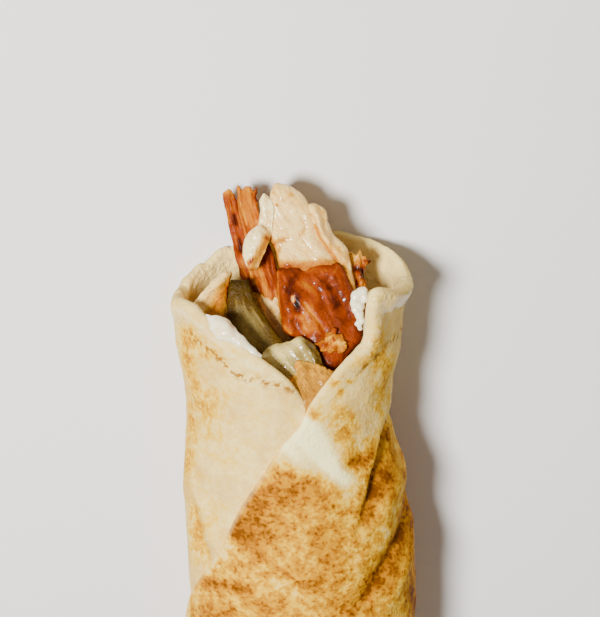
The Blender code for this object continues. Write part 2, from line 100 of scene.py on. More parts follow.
# Damp places, and sauce smeared on the lip: (points as (angle, place along Y), reach, strength)
INNER_MOIST = 0.25
MOIST = (
    (((262, 66), (275, 68), (290, 71), (300, 73), (312, 72)), 4.0, 0.8),
    (((42, 70), (44, 78), (60, 77), (74, 76), (92, 76)), 3.5, 1.0),
    (((200, 78), (225, 76), (250, 73)), 3.0, 0.5),
)
SMEAR = (
    (((280, 71.5), (289, 73.2), (298, 73.6), (306, 73), (313, 71.2), (322, 68.6), (332, 65.2), (340, 62.8),
      (348, 60.8)), 1.5, 0.6),
    (((39, 64), (43, 69), (44, 76), (49, 80.5), (60, 79)), 2.4, 0.42),
)

# The pieces of filling: how far in their crown is full, how their fibres wander, and their size at the back
DOME_REACH = 2.6
FIBRE_BEND = 1.2
FIBRE_BEND_SIZE = 7.0
FIBRE_GAIN = 1.6
BACK_TAPER = 0.9

# The chopped chicken inside: how near its corners are joined, its faces, lumps near the mouth, and grain
MERGE = 0.001
CORE_VOXEL = 0.8
CORE_SOFTENING = 3
CORE_SHOWN = (25, 40)
CORE_LUMPS = 1.6
CORE_LUMP_SIZE = 4.5
CORE_GRAIN = 1.4
CORE_BROWN = 0.66

# Sauce, as balls run together: a bead inside the left lip, whose swell is (angle, radius) stations, and a
# dollop as (centre, radius) in the filling plane
SAUCE_SOFTENING = 8
SAUCE_LUMPS = 0.55
SAUCE_LUMP_SIZE = 3.5
BEAD_EDGE_FROM = 200
BEAD_SPAN = (312, 346)
BEAD_INWARD = 0.5
BEAD_COUNT = 30
BEAD_SWELL = ((312, 0.4), (316, 1.1), (320, 2.2), (325, 2.8), (330, 2.4), (335, 1.8), (341, 1.2), (346, 0.7))
DOLLOP = (
    ((17.0, 4.4, 6.6), 1.5), ((15.6, 3.3, 7.0), 1.5), ((14.9, 1.6, 7.4), 1.3), ((15.4, -0.2, 7.6), 1.3),
    ((16.6, 0.6, 7.6), 1.4), ((16.4, -1.8, 8.0), 1.3), ((16.9, -3.4, 8.2), 1.1), ((15.7, -4.4, 8.3), 0.8),
    ((16.6, -5.6, 8.4), 0.9), ((17.8, 2.6, 7.0), 1.1),
)

# The stage, in metres, apart from the camera's sensor in millimetres
AIM = (0, 0.071, 0.026)
SENSOR = 36.0
PICTURE_WIDTH = 0.168
FLOOR_REACH = 1.5
KEY_PLACE = (-0.28, 0.2, 0.7)
KEY_SIZE = 0.2
FILL_PLACE = (-0.55, -0.05, 0.4)
FILL_SIZE = 0.6
SKY_COLOUR = (1.0, 0.99, 0.975)

# The roll's outer form: (place along Y, size) stations, joined by smooth curves
LEFT_SIDE = (
    (-97, -29.5), (-55, -33), (-20, -33.8), (2, -35.1), (20, -35.7), (40, -34.2), (60, -36.8), (92, -36.4),
)
RIGHT_SIDE = ((-97, 29), (-55, 33), (-20, 34.8), (0, 33.6), (20, 30.8), (43, 26.4), (60, 28.9), (92, 31.4))
CROWN = ((-97, 45), (-55, 50), (0, 52.5), (50, 51), (92, 52))
UNDERSIDE = -5.0
FLOOR = -1.7
FLOOR_BLEND = 2.0

# The closed end, rounded over and drawn in to a flat seam
SHOULDER = -63.0
END_DEPTH = 22.0
END_TURN = END_DEPTH * math.pi / 2
SEAM_WIDTH = 0.55
SEAM_HEIGHT = 0.03
PLEATS = 7
PLEAT_HEIGHT = 0.9
PLEAT_SWAY = 0.9
PLEAT_FADE = 1.1

# The bread's edge, as (angle round the roll, place along Y). 0 is the crown and 90 the right-hand side.
# It climbs the front as the outer lapel, goes round the mouth, and dives under as the inner lapel.
EDGE = (
    (-115, -50), (-97, -34), (-78, -19), (-54, -4.5), (-40, 5.7), (-31, 15), (-21.5, 24), (-12, 31.8),
    (-4.5, 37.8), (3, 42.4), (7.5, 45), (12, 50), (17.5, 54.8), (22.5, 58.5), (29, 63), (35, 65.3),
    (40, 67.5), (41.3, 71), (41, 76), (42, 81), (47, 82.8), (59.5, 81), (74.5, 79.8), (92, 80.2),
    (112, 83), (140, 84.5), (175, 86), (212, 81.5), (230, 78.8), (250, 75.5), (269, 74.2), (289, 76),
    (303, 76.2), (313, 74), (328, 70), (345, 65), (360, 59), (369, 53), (377, 45), (384, 34),
)
FIRST_ANGLE = EDGE[0][0]
LAST_ANGLE = EDGE[-1][0]

# How ragged the edge is: (angle, size of its teeth) stations
RAGGED = ((-115, 0.35), (-30, 0.3), (20, 0.25), (60, 0.2), (120, 0.3), (180, 0.5), (215, 1.1), (262, 1.0),
          (285, 0.4), (320, 0.25), (384, 0.2))
RAGGED_REACH = 3.5

# Lips: (angle, how much thicker the edge is) and (angle, how far the edge turns outwards) stations
LIP = ((-115, 0), (-10, 0), (22, 0.5), (42, 1.6), (70, 1.5), (110, 0.6), (200, 0.15), (240, 0.3),
       (285, 1.0), (320, 0.9), (350, 0.3), (384, 0))
LIP_REACH = 3.0
LIP_WIDTH = 3.2
LIP_OUTWARD = 0.6
LIP_INWARD = 1.4
FLARE = ((-115, 0), (20, 0), (42, 1.0), (90, 0.9), (140, 0.3), (240, 0.2), (285, 0.7), (330, 0.4), (384, 0))
FLARE_WIDTH = 4.5

# Folds pressed into the outer face: (points as (angle, place along Y), height of the side on the left
# of the line's direction, depth of the side on the right, width of each side)
FOLDS = (
    (((125, 52), (104, 48), (88, 44), (68, 39.8), (60, 35.5), (52, 31.2), (47, 28.2), (43, 24), (40, 21),
      (35, 15.8)), -3.0, -0.7, 5.0),
    (((112, 24), (92, 22), (72, 21), (56, 18.2), (44, 13.2), (26, 4.5), (6, -1.8)), 1.0, -1.0, 3.8),
    (((100, 16), (84, 10), (66, 4.5), (57, 0.8), (47, -3.8), (41, -7), (34, -10.8), (23, -11)),
     -1.0, 2.7, 4.5),
    (((104, 6), (88, 3), (70, -3), (60, -7), (50, -12), (42, -15), (34, -18)), 1.0, -1.0, 3.2),
    (((32, 31.2), (39, 31.6), (46, 32.5)), -1.2, 0.2, 2.6),
    (((11, 1.8), (25, 2.8), (36, 7.2), (42, 10.5)), -0.7, 0.4, 2.0),
    (((-70, 25.5), (-62, 23), (-54, 19.2), (-50, 17), (-47, 13.8), (-45, 9), (-42, 7.2), (-38, 5)),
     -0.3, -1.5, 4.5),
    (((-72, 14), (-66, 12.8), (-61, 8.2), (-60, 3.5), (-56, 1), (-50, -2.5)), -1.5, 1.0, 3.0),
)
FOLD_EDGE = 1.3
FOLD_RUN = (0.02, 0.98)
FOLD_THROUGH = 0.7

# The roll's mean radius, by which angles are laid flat
FOLD_SCALE = 30.0

# Between these angles the sheet passes below its outer turn, where nothing can be raised
COVERED = (322, 345)

# Among these strokes are painted highlights along two ridges and painted shade down the right-hand side.
# Browned places on the sheet: (points as (angle, place along Y), reach, strength). Below 0 it stays pale.
OUTER_TOAST = (
    (((-22, 15.4), (-14, 22.9), (-2, 28.5), (8, 26.2)), 5, 0.46),
    (((-27, 12.8), (-20, 9.2)), 4, 0.36),
    (((-11, 13.1), (-3, 16.5)), 3, 0.22),
    (((12, 13.3), (18, 7.3)), 3, 0.34),
    (((14, 2.8), (7, -1.1), (0, 2.6)), 3.2, 0.26),
    (((-56, -6.2), (-38, -4.8), (-25, -4.7)), 2, 0.5),
    (((-38, -13), (-66, -19.6)), 3, 0.34),
    (((-19, -10.4), (-7, -7.7)), 3, 0.24),
    (((23, 49.1), (37, 44.4), (31, 41.5)), 3, 0.34),
    (((13, 49.6), (15, 48.4)), 1.2, 0.42),
    (((34, 33.1), (44, 32.8), (50, 34.6)), 2.4, 0.5),
    (((76, 35.2), (70, 27.5), (57, 23.2)), 3.4, 0.3),
    (((39, 15.7), (47, 20.9), (58, 24.7)), 2.6, 0.4),
    (((70, 4.3), (59, -1.3), (48, -5.4)), 3.4, 0.36),
    (((85, -23.4), (70, -13.2)), 3, 0.5),
    (((37, -7.9), (43, -5.8)), 1.5, 0.35),
    (((26, -10.2), (18, -11.5)), 3, 0.24),
    (((30, 40.1), (37, 37.5)), 2.2, 0.2),
    (((24, 57.7), (25, 57.4)), 0.9, 0.5),
    (((32, 57.4), (34, 57.1)), 0.8, 0.45),
    (((28, 54.5), (29, 54.4)), 0.9, 0.4),
    (((9, 44.7), (16, 39), (22, 33.1), (29, 28.6)), 3.5, -0.62),
    (((0, 39.5), (8, 33.6)), 2.4, -0.3),
    (((-33, 8.8), (-50, -2.7)), 1.8, -0.3),
    # Painted highlight: a paler stroke along a ridge that faces the light
    (((43, 6.9), (60, 12.8), (67, 19.3)), 2.4, -0.18),
    (((-2, -5), (-9, -1.7)), 2.6, -0.14),
    # Painted highlight: a paler stroke along a ridge low on the right
    (((50, -14.5), (59, -8.3)), 2, -0.12),
    (((45, 66), (58, 58), (62, 48)), 5, 0.3),
    (((92, 12), (94, -18)), 9, 0.35),
    # Painted shade over golden toast: darkens the right-hand side, which is turned from the light
    (((98, 72), (94, 58), (98, 44)), 5.5, 0.45),
    (((0, -30), (40, -36)), 11, 0.3),
    (((-60, -40), (-20, -48)), 10, 0.3),
    (((30, -62), (80, -56)), 11, 0.35),
    (((150, 30), (175, -20)), 14, 0.4),
    (((210, 40), (200, -10)), 14, 0.35),
)
INNER_TOAST = (
    (((296, 64), (299, 54), (304, 48)), 4.5, 0.33),
    (((287, 42), (286, 24)), 5.0, 0.28),
    (((318, 64), (306, 66)), 4.0, 0.25),
    (((318, 50), (312, 40)), 5.0, 0.16),
    (((300, 12), (296, 0)), 6.0, 0.2),
)

# Rows of small scorched specks that run beside the edge
SPECK_LINES = (
    ((300, 67.5), (310, 66), (320, 64.5), (325, 63), (330, 61), (334, 59.2), (340, 58.3), (346, 58),
     (352, 57.2), (356, 56.8), (361, 56), (366, 55)),
    ((100, 62.5), (92, 63.2), (80, 65), (68, 65.2), (58, 64), (50, 63.2), (44, 61.8), (38, 60.5), (36, 59.8)),
)

# The filling leans up out of the mouth: its pieces are drawn in a plane turned by this about X, at a point
FILLING_LEAN = 20
FILLING_ORIGIN = (0, 71, 26)
FILLING_FRAME = Matrix.Translation(FILLING_ORIGIN) @ Matrix.Rotation(-math.radians(FILLING_LEAN), 4, "X")
FILLING_PLACE = Matrix.Scale(MM, 4) @ FILLING_FRAME @ Matrix.Scale(1 / MM, 4)

# Outlines of the pieces as seen from above the mouth, as (across, up) from the filling's origin
BREAST_TOP = (
    (-9, 19.2), (-9, 22.5), (-9.2, 26.2), (-9, 29.5), (-8.4, 31.8), (-7.9, 33.7), (-7.8, 35), (-7.3, 35.5),
    (-6.2, 35.4), (-5.3, 34.7), (-3.9, 34.4), (-2.8, 34.3), (-1.7, 33.5), (-0.6, 32.8), (0.6, 32.1),
    (1.7, 30.9), (2.4, 29.5), (3.1, 28.1), (3.9, 26.2), (4.5, 23.7), (5.3, 20.9), (6.4, 18.3), (8.1, 16.1),
    (9.8, 14.1), (11.5, 11.9), (11.5, 10.5), (9.5, 10.2), (5, 10.2), (1.7, 9.4), (-1.7, 10.2), (-4.5, 9.9),
    (-5.6, 11.3), (-6.2, 13), (-6.7, 15), (-7.6, 17.2),
)
BREAST_ROASTED = (
    (-6.7, 11.3), (-5, 11.8), (-2.8, 11.9), (-0.8, 12.2), (1.1, 10.8), (2.5, 12), (4.2, 12.7), (6.2, 12.9),
    (8.4, 12.5), (10.4, 13), (11.8, 11.9), (13.2, 9.4), (14.6, 6.3), (16, 3.2), (17.1, 0.1), (17.6, -3.2),
    (17.6, -6.6), (17.4, -9.4), (14.6, -12.2), (12.3, -15), (9.8, -17.8), (7, -17.8), (5, -15), (3.1, -11.6),
    (0.8, -9.4), (-1.1, -8.3), (-2.8, -8), (-4.8, -6.6), (-5.3, -4.9), (-5.6, -1.8), (-6.2, 1.8), (-6.7, 5.2),
    (-6.4, 8), (-7, 9.9),
)
CURL_LOBE = (
    (-10.6, 23.7), (-9.5, 22.5), (-8.4, 21.4), (-8, 19.7), (-9, 17.5), (-9.5, 15.8), (-10.6, 13.6),
    (-11.8, 11.2), (-12.9, 10.4), (-14.3, 10.2), (-15.1, 11.3), (-15.7, 13), (-16.2, 14.7), (-16.1, 16.1),
    (-16.2, 17.5), (-15.7, 19.2), (-14.6, 20.9), (-13.2, 22.3), (-12, 23.1),
)
CURL_BAND = (
    (-10.6, 31.2), (-10.1, 32.3), (-9.4, 31.9), (-8.7, 31.2), (-7.8, 30.7), (-7, 28.7), (-7, 25.9),
    (-7.3, 23.1), (-7.8, 20.3), (-9, 19.2), (-10.6, 19.7), (-11.8, 22), (-11.5, 24.2), (-11.1, 27),
    (-11.2, 28.7), (-11.5, 29.8),
)
SLAB_TOP = (
    (1.7, 29.3), (2.5, 29.4), (3.8, 29.7), (4.8, 29.3), (5.9, 28.5), (6.7, 27.6), (7.3, 26.5), (7.6, 24.2),
    (8.4, 22.3), (9.4, 20.7), (10.9, 19.2), (12.3, 17.8), (13.7, 16.4), (14, 14.4), (13.7, 11.9), (12, 11.3),
    (9.2, 13.6), (6.7, 16.4), (4.5, 19.7), (3.1, 23.1), (2.2, 26.5),
)
SLAB_EDGE = (
    (10.1, 14.1), (12.6, 15), (14.3, 14.1), (14.4, 11.9), (14.6, 9.7), (15.4, 6.9), (16.2, 4.3), (16.5, 1),
    (15.7, -1.5), (14.3, 2.4), (12.9, 6.3), (11.5, 10.2),
)
STRIP_LONG = (
    (-20.6, 33.9), (-20.2, 34.2), (-19.7, 34.1), (-19.2, 33.3), (-18.6, 32.5), (-18.2, 31.5), (-17.5, 29.5),
    (-16.7, 27.3), (-16, 25.6), (-14.8, 23.1), (-13.7, 21.1), (-12.9, 17.8), (-11.8, 13), (-10.1, 5.2),
    (-10.6, -4.6), (-13.2, -4.6), (-14, 2.4), (-15.1, 5.2), (-16.2, 7.4), (-16.9, 9.1), (-17.7, 11.9),
    (-18.6, 15.5), (-19.4, 19.2), (-20.2, 22.8), (-20.9, 26.5), (-21.6, 29.3), (-22, 31.5), (-22, 32.8),
    (-21.4, 33.2),
)
STRIP_FRAYED = (
    (-17.9, 33.7), (-17.8, 34.7), (-17.4, 35), (-16.9, 34.4), (-16.6, 33.5), (-16.2, 33.3), (-15.8, 34),
    (-15.3, 34.6), (-14.3, 34.5), (-13.6, 34.2), (-13.2, 33.3), (-12.8, 33.2), (-12.4, 34.2), (-12, 34.4),
    (-12.2, 33.5), (-12.4, 32.3), (-12, 31.1), (-11.8, 30.1), (-11.9, 29), (-11.5, 27), (-10.6, 24.2),
    (-9, 19.2), (-7.3, 15), (-6.4, 10.8), (-5.9, 6.6), (-5.6, 3.5), (-6.4, 2.1), (-7, 3.5), (-7.8, 1.3),
    (-8.7, 2.9), (-9.5, 2.1), (-10.6, 3.8), (-11.8, 4.1), (-12.6, 5.2), (-14, 7.7), (-15.1, 13), (-16, 19.2),
    (-16.7, 24.2), (-17.4, 28.1), (-17.8, 30.4), (-17.7, 32.3),
)
SLICE = (
    (-15, 5), (-5, 5), (-4.5, 1.5), (-4, -2.7), (-3.5, -6.3), (-2.4, -8), (-1.2, -9.1), (-2.8, -11.6),
    (-5.6, -14.4), (-9, -13), (-12, -8), (-14.5, -2),
)
SPEAR = (
    (-19.5, 8.2), (-17.9, 8.3), (-16, 8.3), (-14.3, 8.2), (-14.1, 7.1), (-13.3, 5.2), (-12.7, 2.9),
    (-11.9, 1.3), (-10.6, -0.7), (-9, -2.9), (-7.6, -5.2), (-6.2, -7.3), (-4.8, -8.7), (-3.9, -10.5),
    (-5, -13.9), (-9, -18.9), (-11.8, -15), (-14.6, -12.2), (-17.4, -8), (-20.2, -3.8), (-20.5, -0.4),
    (-20.4, 2.9), (-20.1, 5.7),
)
SIDE_FACE = (
    (-20.7, 10.6), (-19.9, 10.2), (-19, 10.2), (-19.6, 8.3), (-19.9, 6.3), (-19.9, 2.4), (-19.9, -2.7),
    (-20.4, -7.4), (-21.8, -8.8), (-25.2, -6.6), (-29.1, -2.7), (-30.8, 0.7), (-29.1, 2.4), (-27.7, 4.3),
    (-26.3, 6), (-24.6, 8), (-22.7, 9.5),
)
PICKLE_ROUND = (
    (-11.8, -13.6), (-10.9, -12.7), (-9.8, -11.8), (-8.4, -10.5), (-7, -9.7), (-5.3, -9.6), (-3.9, -9.3),
    (-2.2, -8.7), (-1.1, -7.8), (-0.3, -7.5), (0.6, -7.8), (1.7, -8.5), (3.1, -9.4), (4.2, -10.2), (5, -11.6),
    (5.9, -13.3), (6.4, -15.3), (6.2, -17.8), (4.5, -21.4), (2.2, -23.4), (-0.6, -23.4), (-3.9, -21.7),
    (-7.8, -17.8),
)
FRONT = (
    (-1, -14.4), (-0.3, -13.9), (0.6, -13.7), (1.3, -14.3), (2.2, -14.4), (3.6, -14.8), (4.8, -15.3),
    (5.9, -16), (6.7, -16.2), (7.1, -16.7), (7.4, -17.4), (7.6, -17.6), (7.8, -16.7), (8.3, -16.3),
    (8.7, -16.9), (9.5, -17.2), (10.1, -17.2), (11.2, -18.3), (11.8, -20.6), (9.8, -24.5), (6.2, -27.9),
    (3.1, -31.2), (1.1, -29.5), (-1.4, -25.6), (-3.6, -22.3), (-3.4, -19.7), (-2.2, -18.1), (-1.7, -16.7),
    (-1.5, -15.5),
)
CRUMB = (
    (3.9, -9.8), (5.3, -9.4), (6.4, -8.5), (7.6, -7.1), (8.7, -6.3), (10.2, -5.3), (10.5, -5.7), (9.9, -6.9),
    (10.6, -7.3), (11.5, -7.1), (12.3, -7.6), (12.7, -8), (12.3, -8.8), (12.6, -9.7), (13.2, -10.4),
    (12.9, -11.1), (12, -11.9), (10.6, -12.2), (9.2, -11.8), (7.8, -11.8), (6.4, -11.3), (5.3, -10.5),
)
END = (
    (12.3, 14.1), (12.9, 15.3), (13.7, 16), (14.6, 15.7), (15.1, 15), (15.7, 14.6), (16, 15.7), (16.7, 16.7),
    (17.2, 16.2), (17.6, 15), (18.3, 14.3), (19, 13.6), (19.2, 12.7), (18.5, 11.9), (18.2, 10.5), (18.1, 9.1),
    (18.5, 7.7), (18.8, 5.7), (18.9, 2.9), (18.5, -2.7), (15.4, -2.7), (15.1, 2.4), (14, 6.6), (13.2, 10.5),
)
TWIG = (
    (18.2, 13), (18.9, 13.2), (19.6, 13.7), (20.3, 13.8), (20.3, 13.4), (19.7, 13), (19.2, 12.6),
    (18.5, 12.3),
)

# Strokes on each piece of filling, in its own plane, as (points, reach, strength). On creases the strength is
# a height, and below 0 it is cut in. On browned or pale places, below 0 it takes away.
BREAST_CREASES = (
    (((1.4, 22.3), (0.6, 20.9), (0, 19.5)), 0.5, -0.5),
    (((3.1, 27.3), (3.4, 24.5), (4.5, 23.1)), 1.1, 0.6),
    (((-4.8, 33.2), (-5.9, 31.2), (-5.6, 28.7)), 0.9, -0.18),
    (((-1.1, 30.4), (-2.2, 27.6), (-3.4, 24.8)), 1.2, -0.2),
    (((-6.7, 21.4), (-4.5, 19.7), (-2.2, 18.9)), 1, -0.2),
    (((0.6, 17.5), (3.4, 15.8), (6.7, 14.4)), 1, -0.2),
    (((1.7, 26.5), (2.2, 24.2)), 0.8, 0.3),
)
BREAST_BROWN = (
    (((4.2, 22.5), (5.6, 19.2), (8.1, 16.1), (10.9, 12.5)), 0.4, 0.2),
    (((-8.1, 19.2), (-7, 18.1), (-5.3, 18.9), (-3.9, 19.2)), 0.7, 0.36),
    (((-7.6, 17.5), (-6.7, 15.3), (-6.2, 13)), 0.6, 0.4),
    (((-5.6, 17.5), (-5.9, 15.8)), 0.45, 0.3),
    (((-6.7, 12.3), (-4.5, 12.2), (-2.5, 12.7), (0, 12.5), (2.2, 12.7), (5.6, 13.2), (9.5, 13.3)), 0.8, 0.22),
    (((-6.7, 11.1), (-2.8, 11.3), (1.7, 11.2), (5.6, 11.8), (10.1, 11.9)), 1.1, 0.42),
    (((-6.7, 28.8), (-6.4, 28.7)), 0.3, 0.6),
    (((-2.8, 31.8), (-2.2, 31.5)), 0.45, 0.2),
    (((1.4, 22.3), (0.6, 20.6)), 0.5, 0.16),
)
ROASTED_CREASES = (
    (((5, 11.3), (2.2, 9.7), (-0.6, 8.3), (-2.5, 6.6), (-3.4, 4.1), (-2.5, 1.3), (-0.6, -0.7)), 1.1, -0.5),
    (((1.1, 7.4), (3.6, 6.6), (5.6, 4.3), (6.4, 1)), 0.9, -0.45),
    (((1.1, 1.5), (3.4, -1.3), (5.9, -4.6), (7.3, -7.7)), 0.5, -0.45),
    (((7.6, 8), (9.8, 5.2), (12, 1.3), (13.4, -3.2)), 1, -0.5),
    (((2.2, 0.1), (3.9, -2.7), (4.5, -6)), 1.6, 0.5),
    (((9, -0.4), (11.2, -3.8), (11.8, -7.7)), 1.4, 0.4),
    (((-1.1, -1), (-1.7, -3.8), (-0.6, -6.3)), 0.6, -0.4),
)
ROASTED_BROWN = (
    (((0, 6.9), (3.1, 5.7), (4.8, 3.5)), 1.1, -0.14),
    (((1.7, 10.8), (5, 10.8), (9, 10.5)), 1.2, -0.12),
    (((-1.1, 9.1), (-2.5, 5.7), (-2.8, 2.9)), 1.3, 0.13),
    (((-1.1, 2.7), (-0.8, 0.7), (-0.3, -0.7)), 0.85, 0.36),
    (((-2, 3.1), (-1.8, 2.1)), 0.45, -1),
    (((1.1, 1.5), (3.4, -1.3), (5.9, -4.6), (7.3, -7.4)), 0.35, -0.15),
    (((2.5, 0.7), (3.4, -2.1), (3.4, -5.5)), 1.8, -0.16),
    (((0, -1), (1.4, -3.8), (1.1, -7.1)), 1.2, -0.2),
    (((6.2, 4.6), (7.8, 1.3), (9, -2.7)), 0.4, -0.12),
    (((3.9, 8.5), (6.7, 6.3), (8.4, 3.5)), 0.5, -0.1),
    (((-6.4, 10.2), (-6.1, 3.8), (-5.6, -2.7)), 0.35, -0.26),
    (((-4.5, -4.9), (-2.8, -6.9)), 0.9, -0.24),
    (((5, 9.1), (8.4, 5.2), (10.6, 0.7)), 1, 0.1),
    (((10.1, 7.4), (12.6, 2.4), (14, -2.1)), 1.4, 0.06),
    (((8.4, 2.4), (10.4, -2.7), (10.6, -7.1)), 1.6, 0.08),
)
CURL_CREASES = (
    (((-8, 19.7), (-9.5, 16.4), (-11.2, 13.3), (-12.6, 10.8)), 0.5, -0.35),
    (((-9.5, 17.5), (-10.6, 15), (-12, 12.5)), 1.2, -0.9),
    (((-11.8, 22.3), (-13.4, 20.3), (-14.8, 17.8)), 0.9, 0.35),
    (((-10.6, 21.4), (-9.2, 20.3), (-8.4, 19.2)), 0.6, -0.5),
    (((-16, 16.4), (-14.8, 16.1), (-13.7, 16.7)), 0.6, -0.3),
    (((-8.5, 30.4), (-8.4, 26.5), (-8.5, 23.1)), 0.7, -0.35),
)
CURL_BROWN = (
    # The flap's lower-right side: its roasted underside, with painted shade on this side turned from the
    # light
    (((-9.2, 19.2), (-10.4, 16.7), (-11.8, 13.9), (-13.2, 11.3)), 1.6, 0.3),
    (((-13.3, 13.7), (-13.7, 12.9)), 0.5, 0.6),
    (((-14.8, 13), (-14.3, 12.2)), 0.4, 0.4),
    (((-9.5, 19.7), (-8.4, 19.2)), 0.6, 0.25),
    (((-14.8, 11.1), (-13.4, 10.5)), 0.7, 0.2),
)
SLAB_CREASES = (
    (((3.9, 28.1), (5, 24.8), (6.4, 21.1), (8.4, 18.1)), 0.9, 0.55),
    (((5, 29), (6.2, 25.9), (7, 22.5), (9, 19.2), (11.2, 16.4)), 0.6, -0.35),
    (((10.1, 13.9), (12, 12.5), (13.7, 11.3)), 0.6, -0.4),
    (((11.5, 11.9), (12.9, 8), (14.6, 4.1)), 0.5, 0.3),
)
SLAB_BROWN = (
    (((4.2, 23.1), (5.6, 19.5), (8.1, 16.1), (10.9, 12.5), (12.9, 8.3), (15.1, 3.2)), 0.55, 0.38),
    (((6.2, 26.5), (7, 22.5), (9, 19.2)), 0.6, 0.1),
    (((12.6, 12.5), (13.7, 8.5), (15.4, 3.5)), 1, 0.2),
    (((9.2, 17.5), (11.2, 15.5), (13.2, 13.9)), 1.1, 0.12),
    (((2.8, 29.5), (3.9, 29.5)), 0.5, 0.1),
)
LONG_CREASES = (
    (((-19.6, 32.6), (-18.5, 27), (-16.8, 19.7), (-14.6, 12.5)), 0.4, -0.35),
    (((-21, 31.5), (-19.9, 25.9), (-18.2, 18.6), (-16, 11.3)), 0.35, -0.2),
    (((-16.8, 26.2), (-15.4, 21.4), (-13.7, 16.4)), 0.35, -0.25),
)
LONG_BROWN = (
    (((-21.3, 33.5), (-19.6, 33.7)), 1.3, -0.3),
    (((-21.7, 32.6), (-21, 28.7), (-20.2, 24.2)), 0.5, -0.12),
    (((-18.6, 26.3), (-18.1, 24)), 0.7, 0.27),
    (((-17.2, 19.4), (-16.8, 16.3)), 0.75, 0.33),
    (((-18.8, 30.4), (-17.6, 27)), 0.6, 0.08),
    (((-19.6, 26.5), (-18.5, 21.4)), 0.8, 0.1),
    (((-16.2, 23.4), (-14.6, 19.2)), 0.7, -0.14),
    (((-16.8, 13), (-15.1, 8)), 0.8, -0.1),
)
FRAYED_CREASES = (
    (((-16.3, 33.2), (-16, 28.7), (-15.1, 23.4), (-13.4, 16.4), (-10.6, 8)), 0.35, -0.5),
    (((-13, 33.2), (-13.2, 28.7), (-12.6, 23.4), (-10.9, 16.4), (-8.4, 6.6)), 0.35, -0.4),
    (((-14.8, 33.7), (-14.7, 28.7), (-14, 23.1), (-12.3, 16.4), (-9.5, 6.9)), 0.3, -0.25),
)
FRAYED_BROWN = (
    (((-14.8, 33.7), (-14.3, 29.8)), 1.4, -0.14),
    (((-16.7, 29.5), (-15.8, 26.5), (-15, 23.7)), 0.35, -0.2),
    (((-12.5, 31.2), (-12.1, 30.4)), 0.5, 0.3),
    (((-15.1, 19.2), (-13.4, 14.1)), 1, 0.16),
    (((-9.5, 19.2), (-8.1, 13), (-7, 6.9)), 1.2, 0.2),
    (((-12.6, 13), (-10.6, 8), (-8.4, 3.2)), 0.7, -0.14),
    (((-14.6, 11.3), (-12.9, 6.9)), 0.6, -0.12),
    (((-14.3, 28.1), (-13.4, 23.1)), 0.6, -0.06),
)
SLICE_CREASES = (
    (((-10.6, 2.4), (-8.4, -2.7), (-5.6, -7.7)), 0.7, -0.3),
    (((-9, 2.9), (-6.4, -2.1), (-3.9, -7.4)), 0.6, 0.3),
)
SLICE_BROWN = (
    (((-12.9, 5.2), (-9, 4.6), (-5.6, 5.2)), 1.6, 0.3),
    (((-12.3, 3.5), (-10.9, -1), (-8.4, -5.5), (-5.9, -8.3)), 0.6, 0.25),
    (((-5.9, 1.8), (-5.3, -2.7), (-4.2, -6.9)), 0.5, 0.2),
)
SIDE_CREASES = (
    (((-22.7, 9.4), (-25.2, 6.9), (-27.7, 4.1), (-30.2, 1.3)), 0.6, 0.5),
    (((-19.9, 6.9), (-22.4, 4.9), (-25.2, 2.7), (-28, -0.1)), 0.9, -0.7),
    (((-19.9, 2.4), (-22.4, 0.7), (-24.6, -2.1)), 0.9, -0.4),
)
SIDE_BROWN = (
    # The right-hand face's browning, darkened further as painted shade where it turns from the light
    (((-20.2, 5.2), (-21.8, 2.4), (-23.2, -1), (-21.8, -4.9)), 2.3, 0.38),
    (((-19.9, 8), (-19.9, 2.4), (-19.9, -2.7)), 0.7, 0.25),
    (((-20.7, 10.2), (-24.1, 8), (-27.2, 4.9), (-30.2, 1.5)), 0.8, -0.1),
)
FRONT_CREASES = (
    (((-0.6, -15), (-1.1, -17.8), (-1.7, -20)), 0.7, -0.5),
    (((1.7, -15), (3.9, -15.5), (6.2, -17.2)), 0.6, 0.35),
)
FRONT_BROWN = (
    (((-0.8, -15.5), (-1.7, -17.5), (-2.8, -19.5)), 0.75, 0.42),
    (((0.6, -14.1), (2.2, -14.4), (4.5, -15.3), (6.7, -16.7)), 0.8, 0.16),
    (((3.1, -17.2), (3.6, -18.1)), 0.9, 0.16),
    (((5.9, -18.6), (6.7, -19.2)), 0.6, 0.16),
)
CRUMB_CREASES = (
    (((5.6, -10.2), (7.8, -8.5), (10.1, -6)), 0.5, 0.6),
    (((7.3, -10.8), (9.5, -9.7), (12, -8.5)), 0.5, -0.6),
)
CRUMB_BROWN = (
    (((9.2, -6.9), (10.4, -5.5)), 0.8, 0.2),
    (((5, -10.2), (6.7, -9.4)), 1, 0.14),
    (((9.2, -8.3), (9.5, -8.8)), 0.4, 0.5),
    (((7.6, -10.5), (9.5, -10.8)), 0.8, 0.16),
    (((10.1, -9.1), (11.5, -9.9)), 1, -0.26),
    (((7.3, -8.8), (9, -7.7)), 0.6, -0.22),
)
END_CREASES = (
    (((14.6, 14.7), (15.4, 10.8), (16, 5.7)), 0.5, -0.6),
    (((16.2, 15.3), (16.8, 11.3), (17.1, 6.9)), 0.5, 0.5),
    (((17.4, 14.7), (17.9, 10.2), (18.2, 5.2)), 0.5, -0.5),
)
END_BROWN = (
    (((13.2, 14.7), (14.8, 14.4), (17.1, 15.5)), 1.6, -0.3),
    (((16, 11.3), (17.6, 10.5), (17.6, 9.1)), 0.8, 0.38),
    (((18.2, 13.3), (19.6, 13.6)), 0.5, 0.25),
    (((14.6, 13), (15.1, 8.5)), 0.8, -0.1),
    (((14.6, 6.6), (15.7, 2.4)), 0.9, 0.12),
)
SPEAR_CREASES = (
    (((-16, 7.4), (-15.1, 3.5), (-13.4, -0.4), (-10.1, -5.5)), 0.6, -0.08),
    (((-18.5, 6.9), (-18.2, 1.8), (-16.5, -3.2), (-13.4, -8.3)), 0.5, -0.07),
)
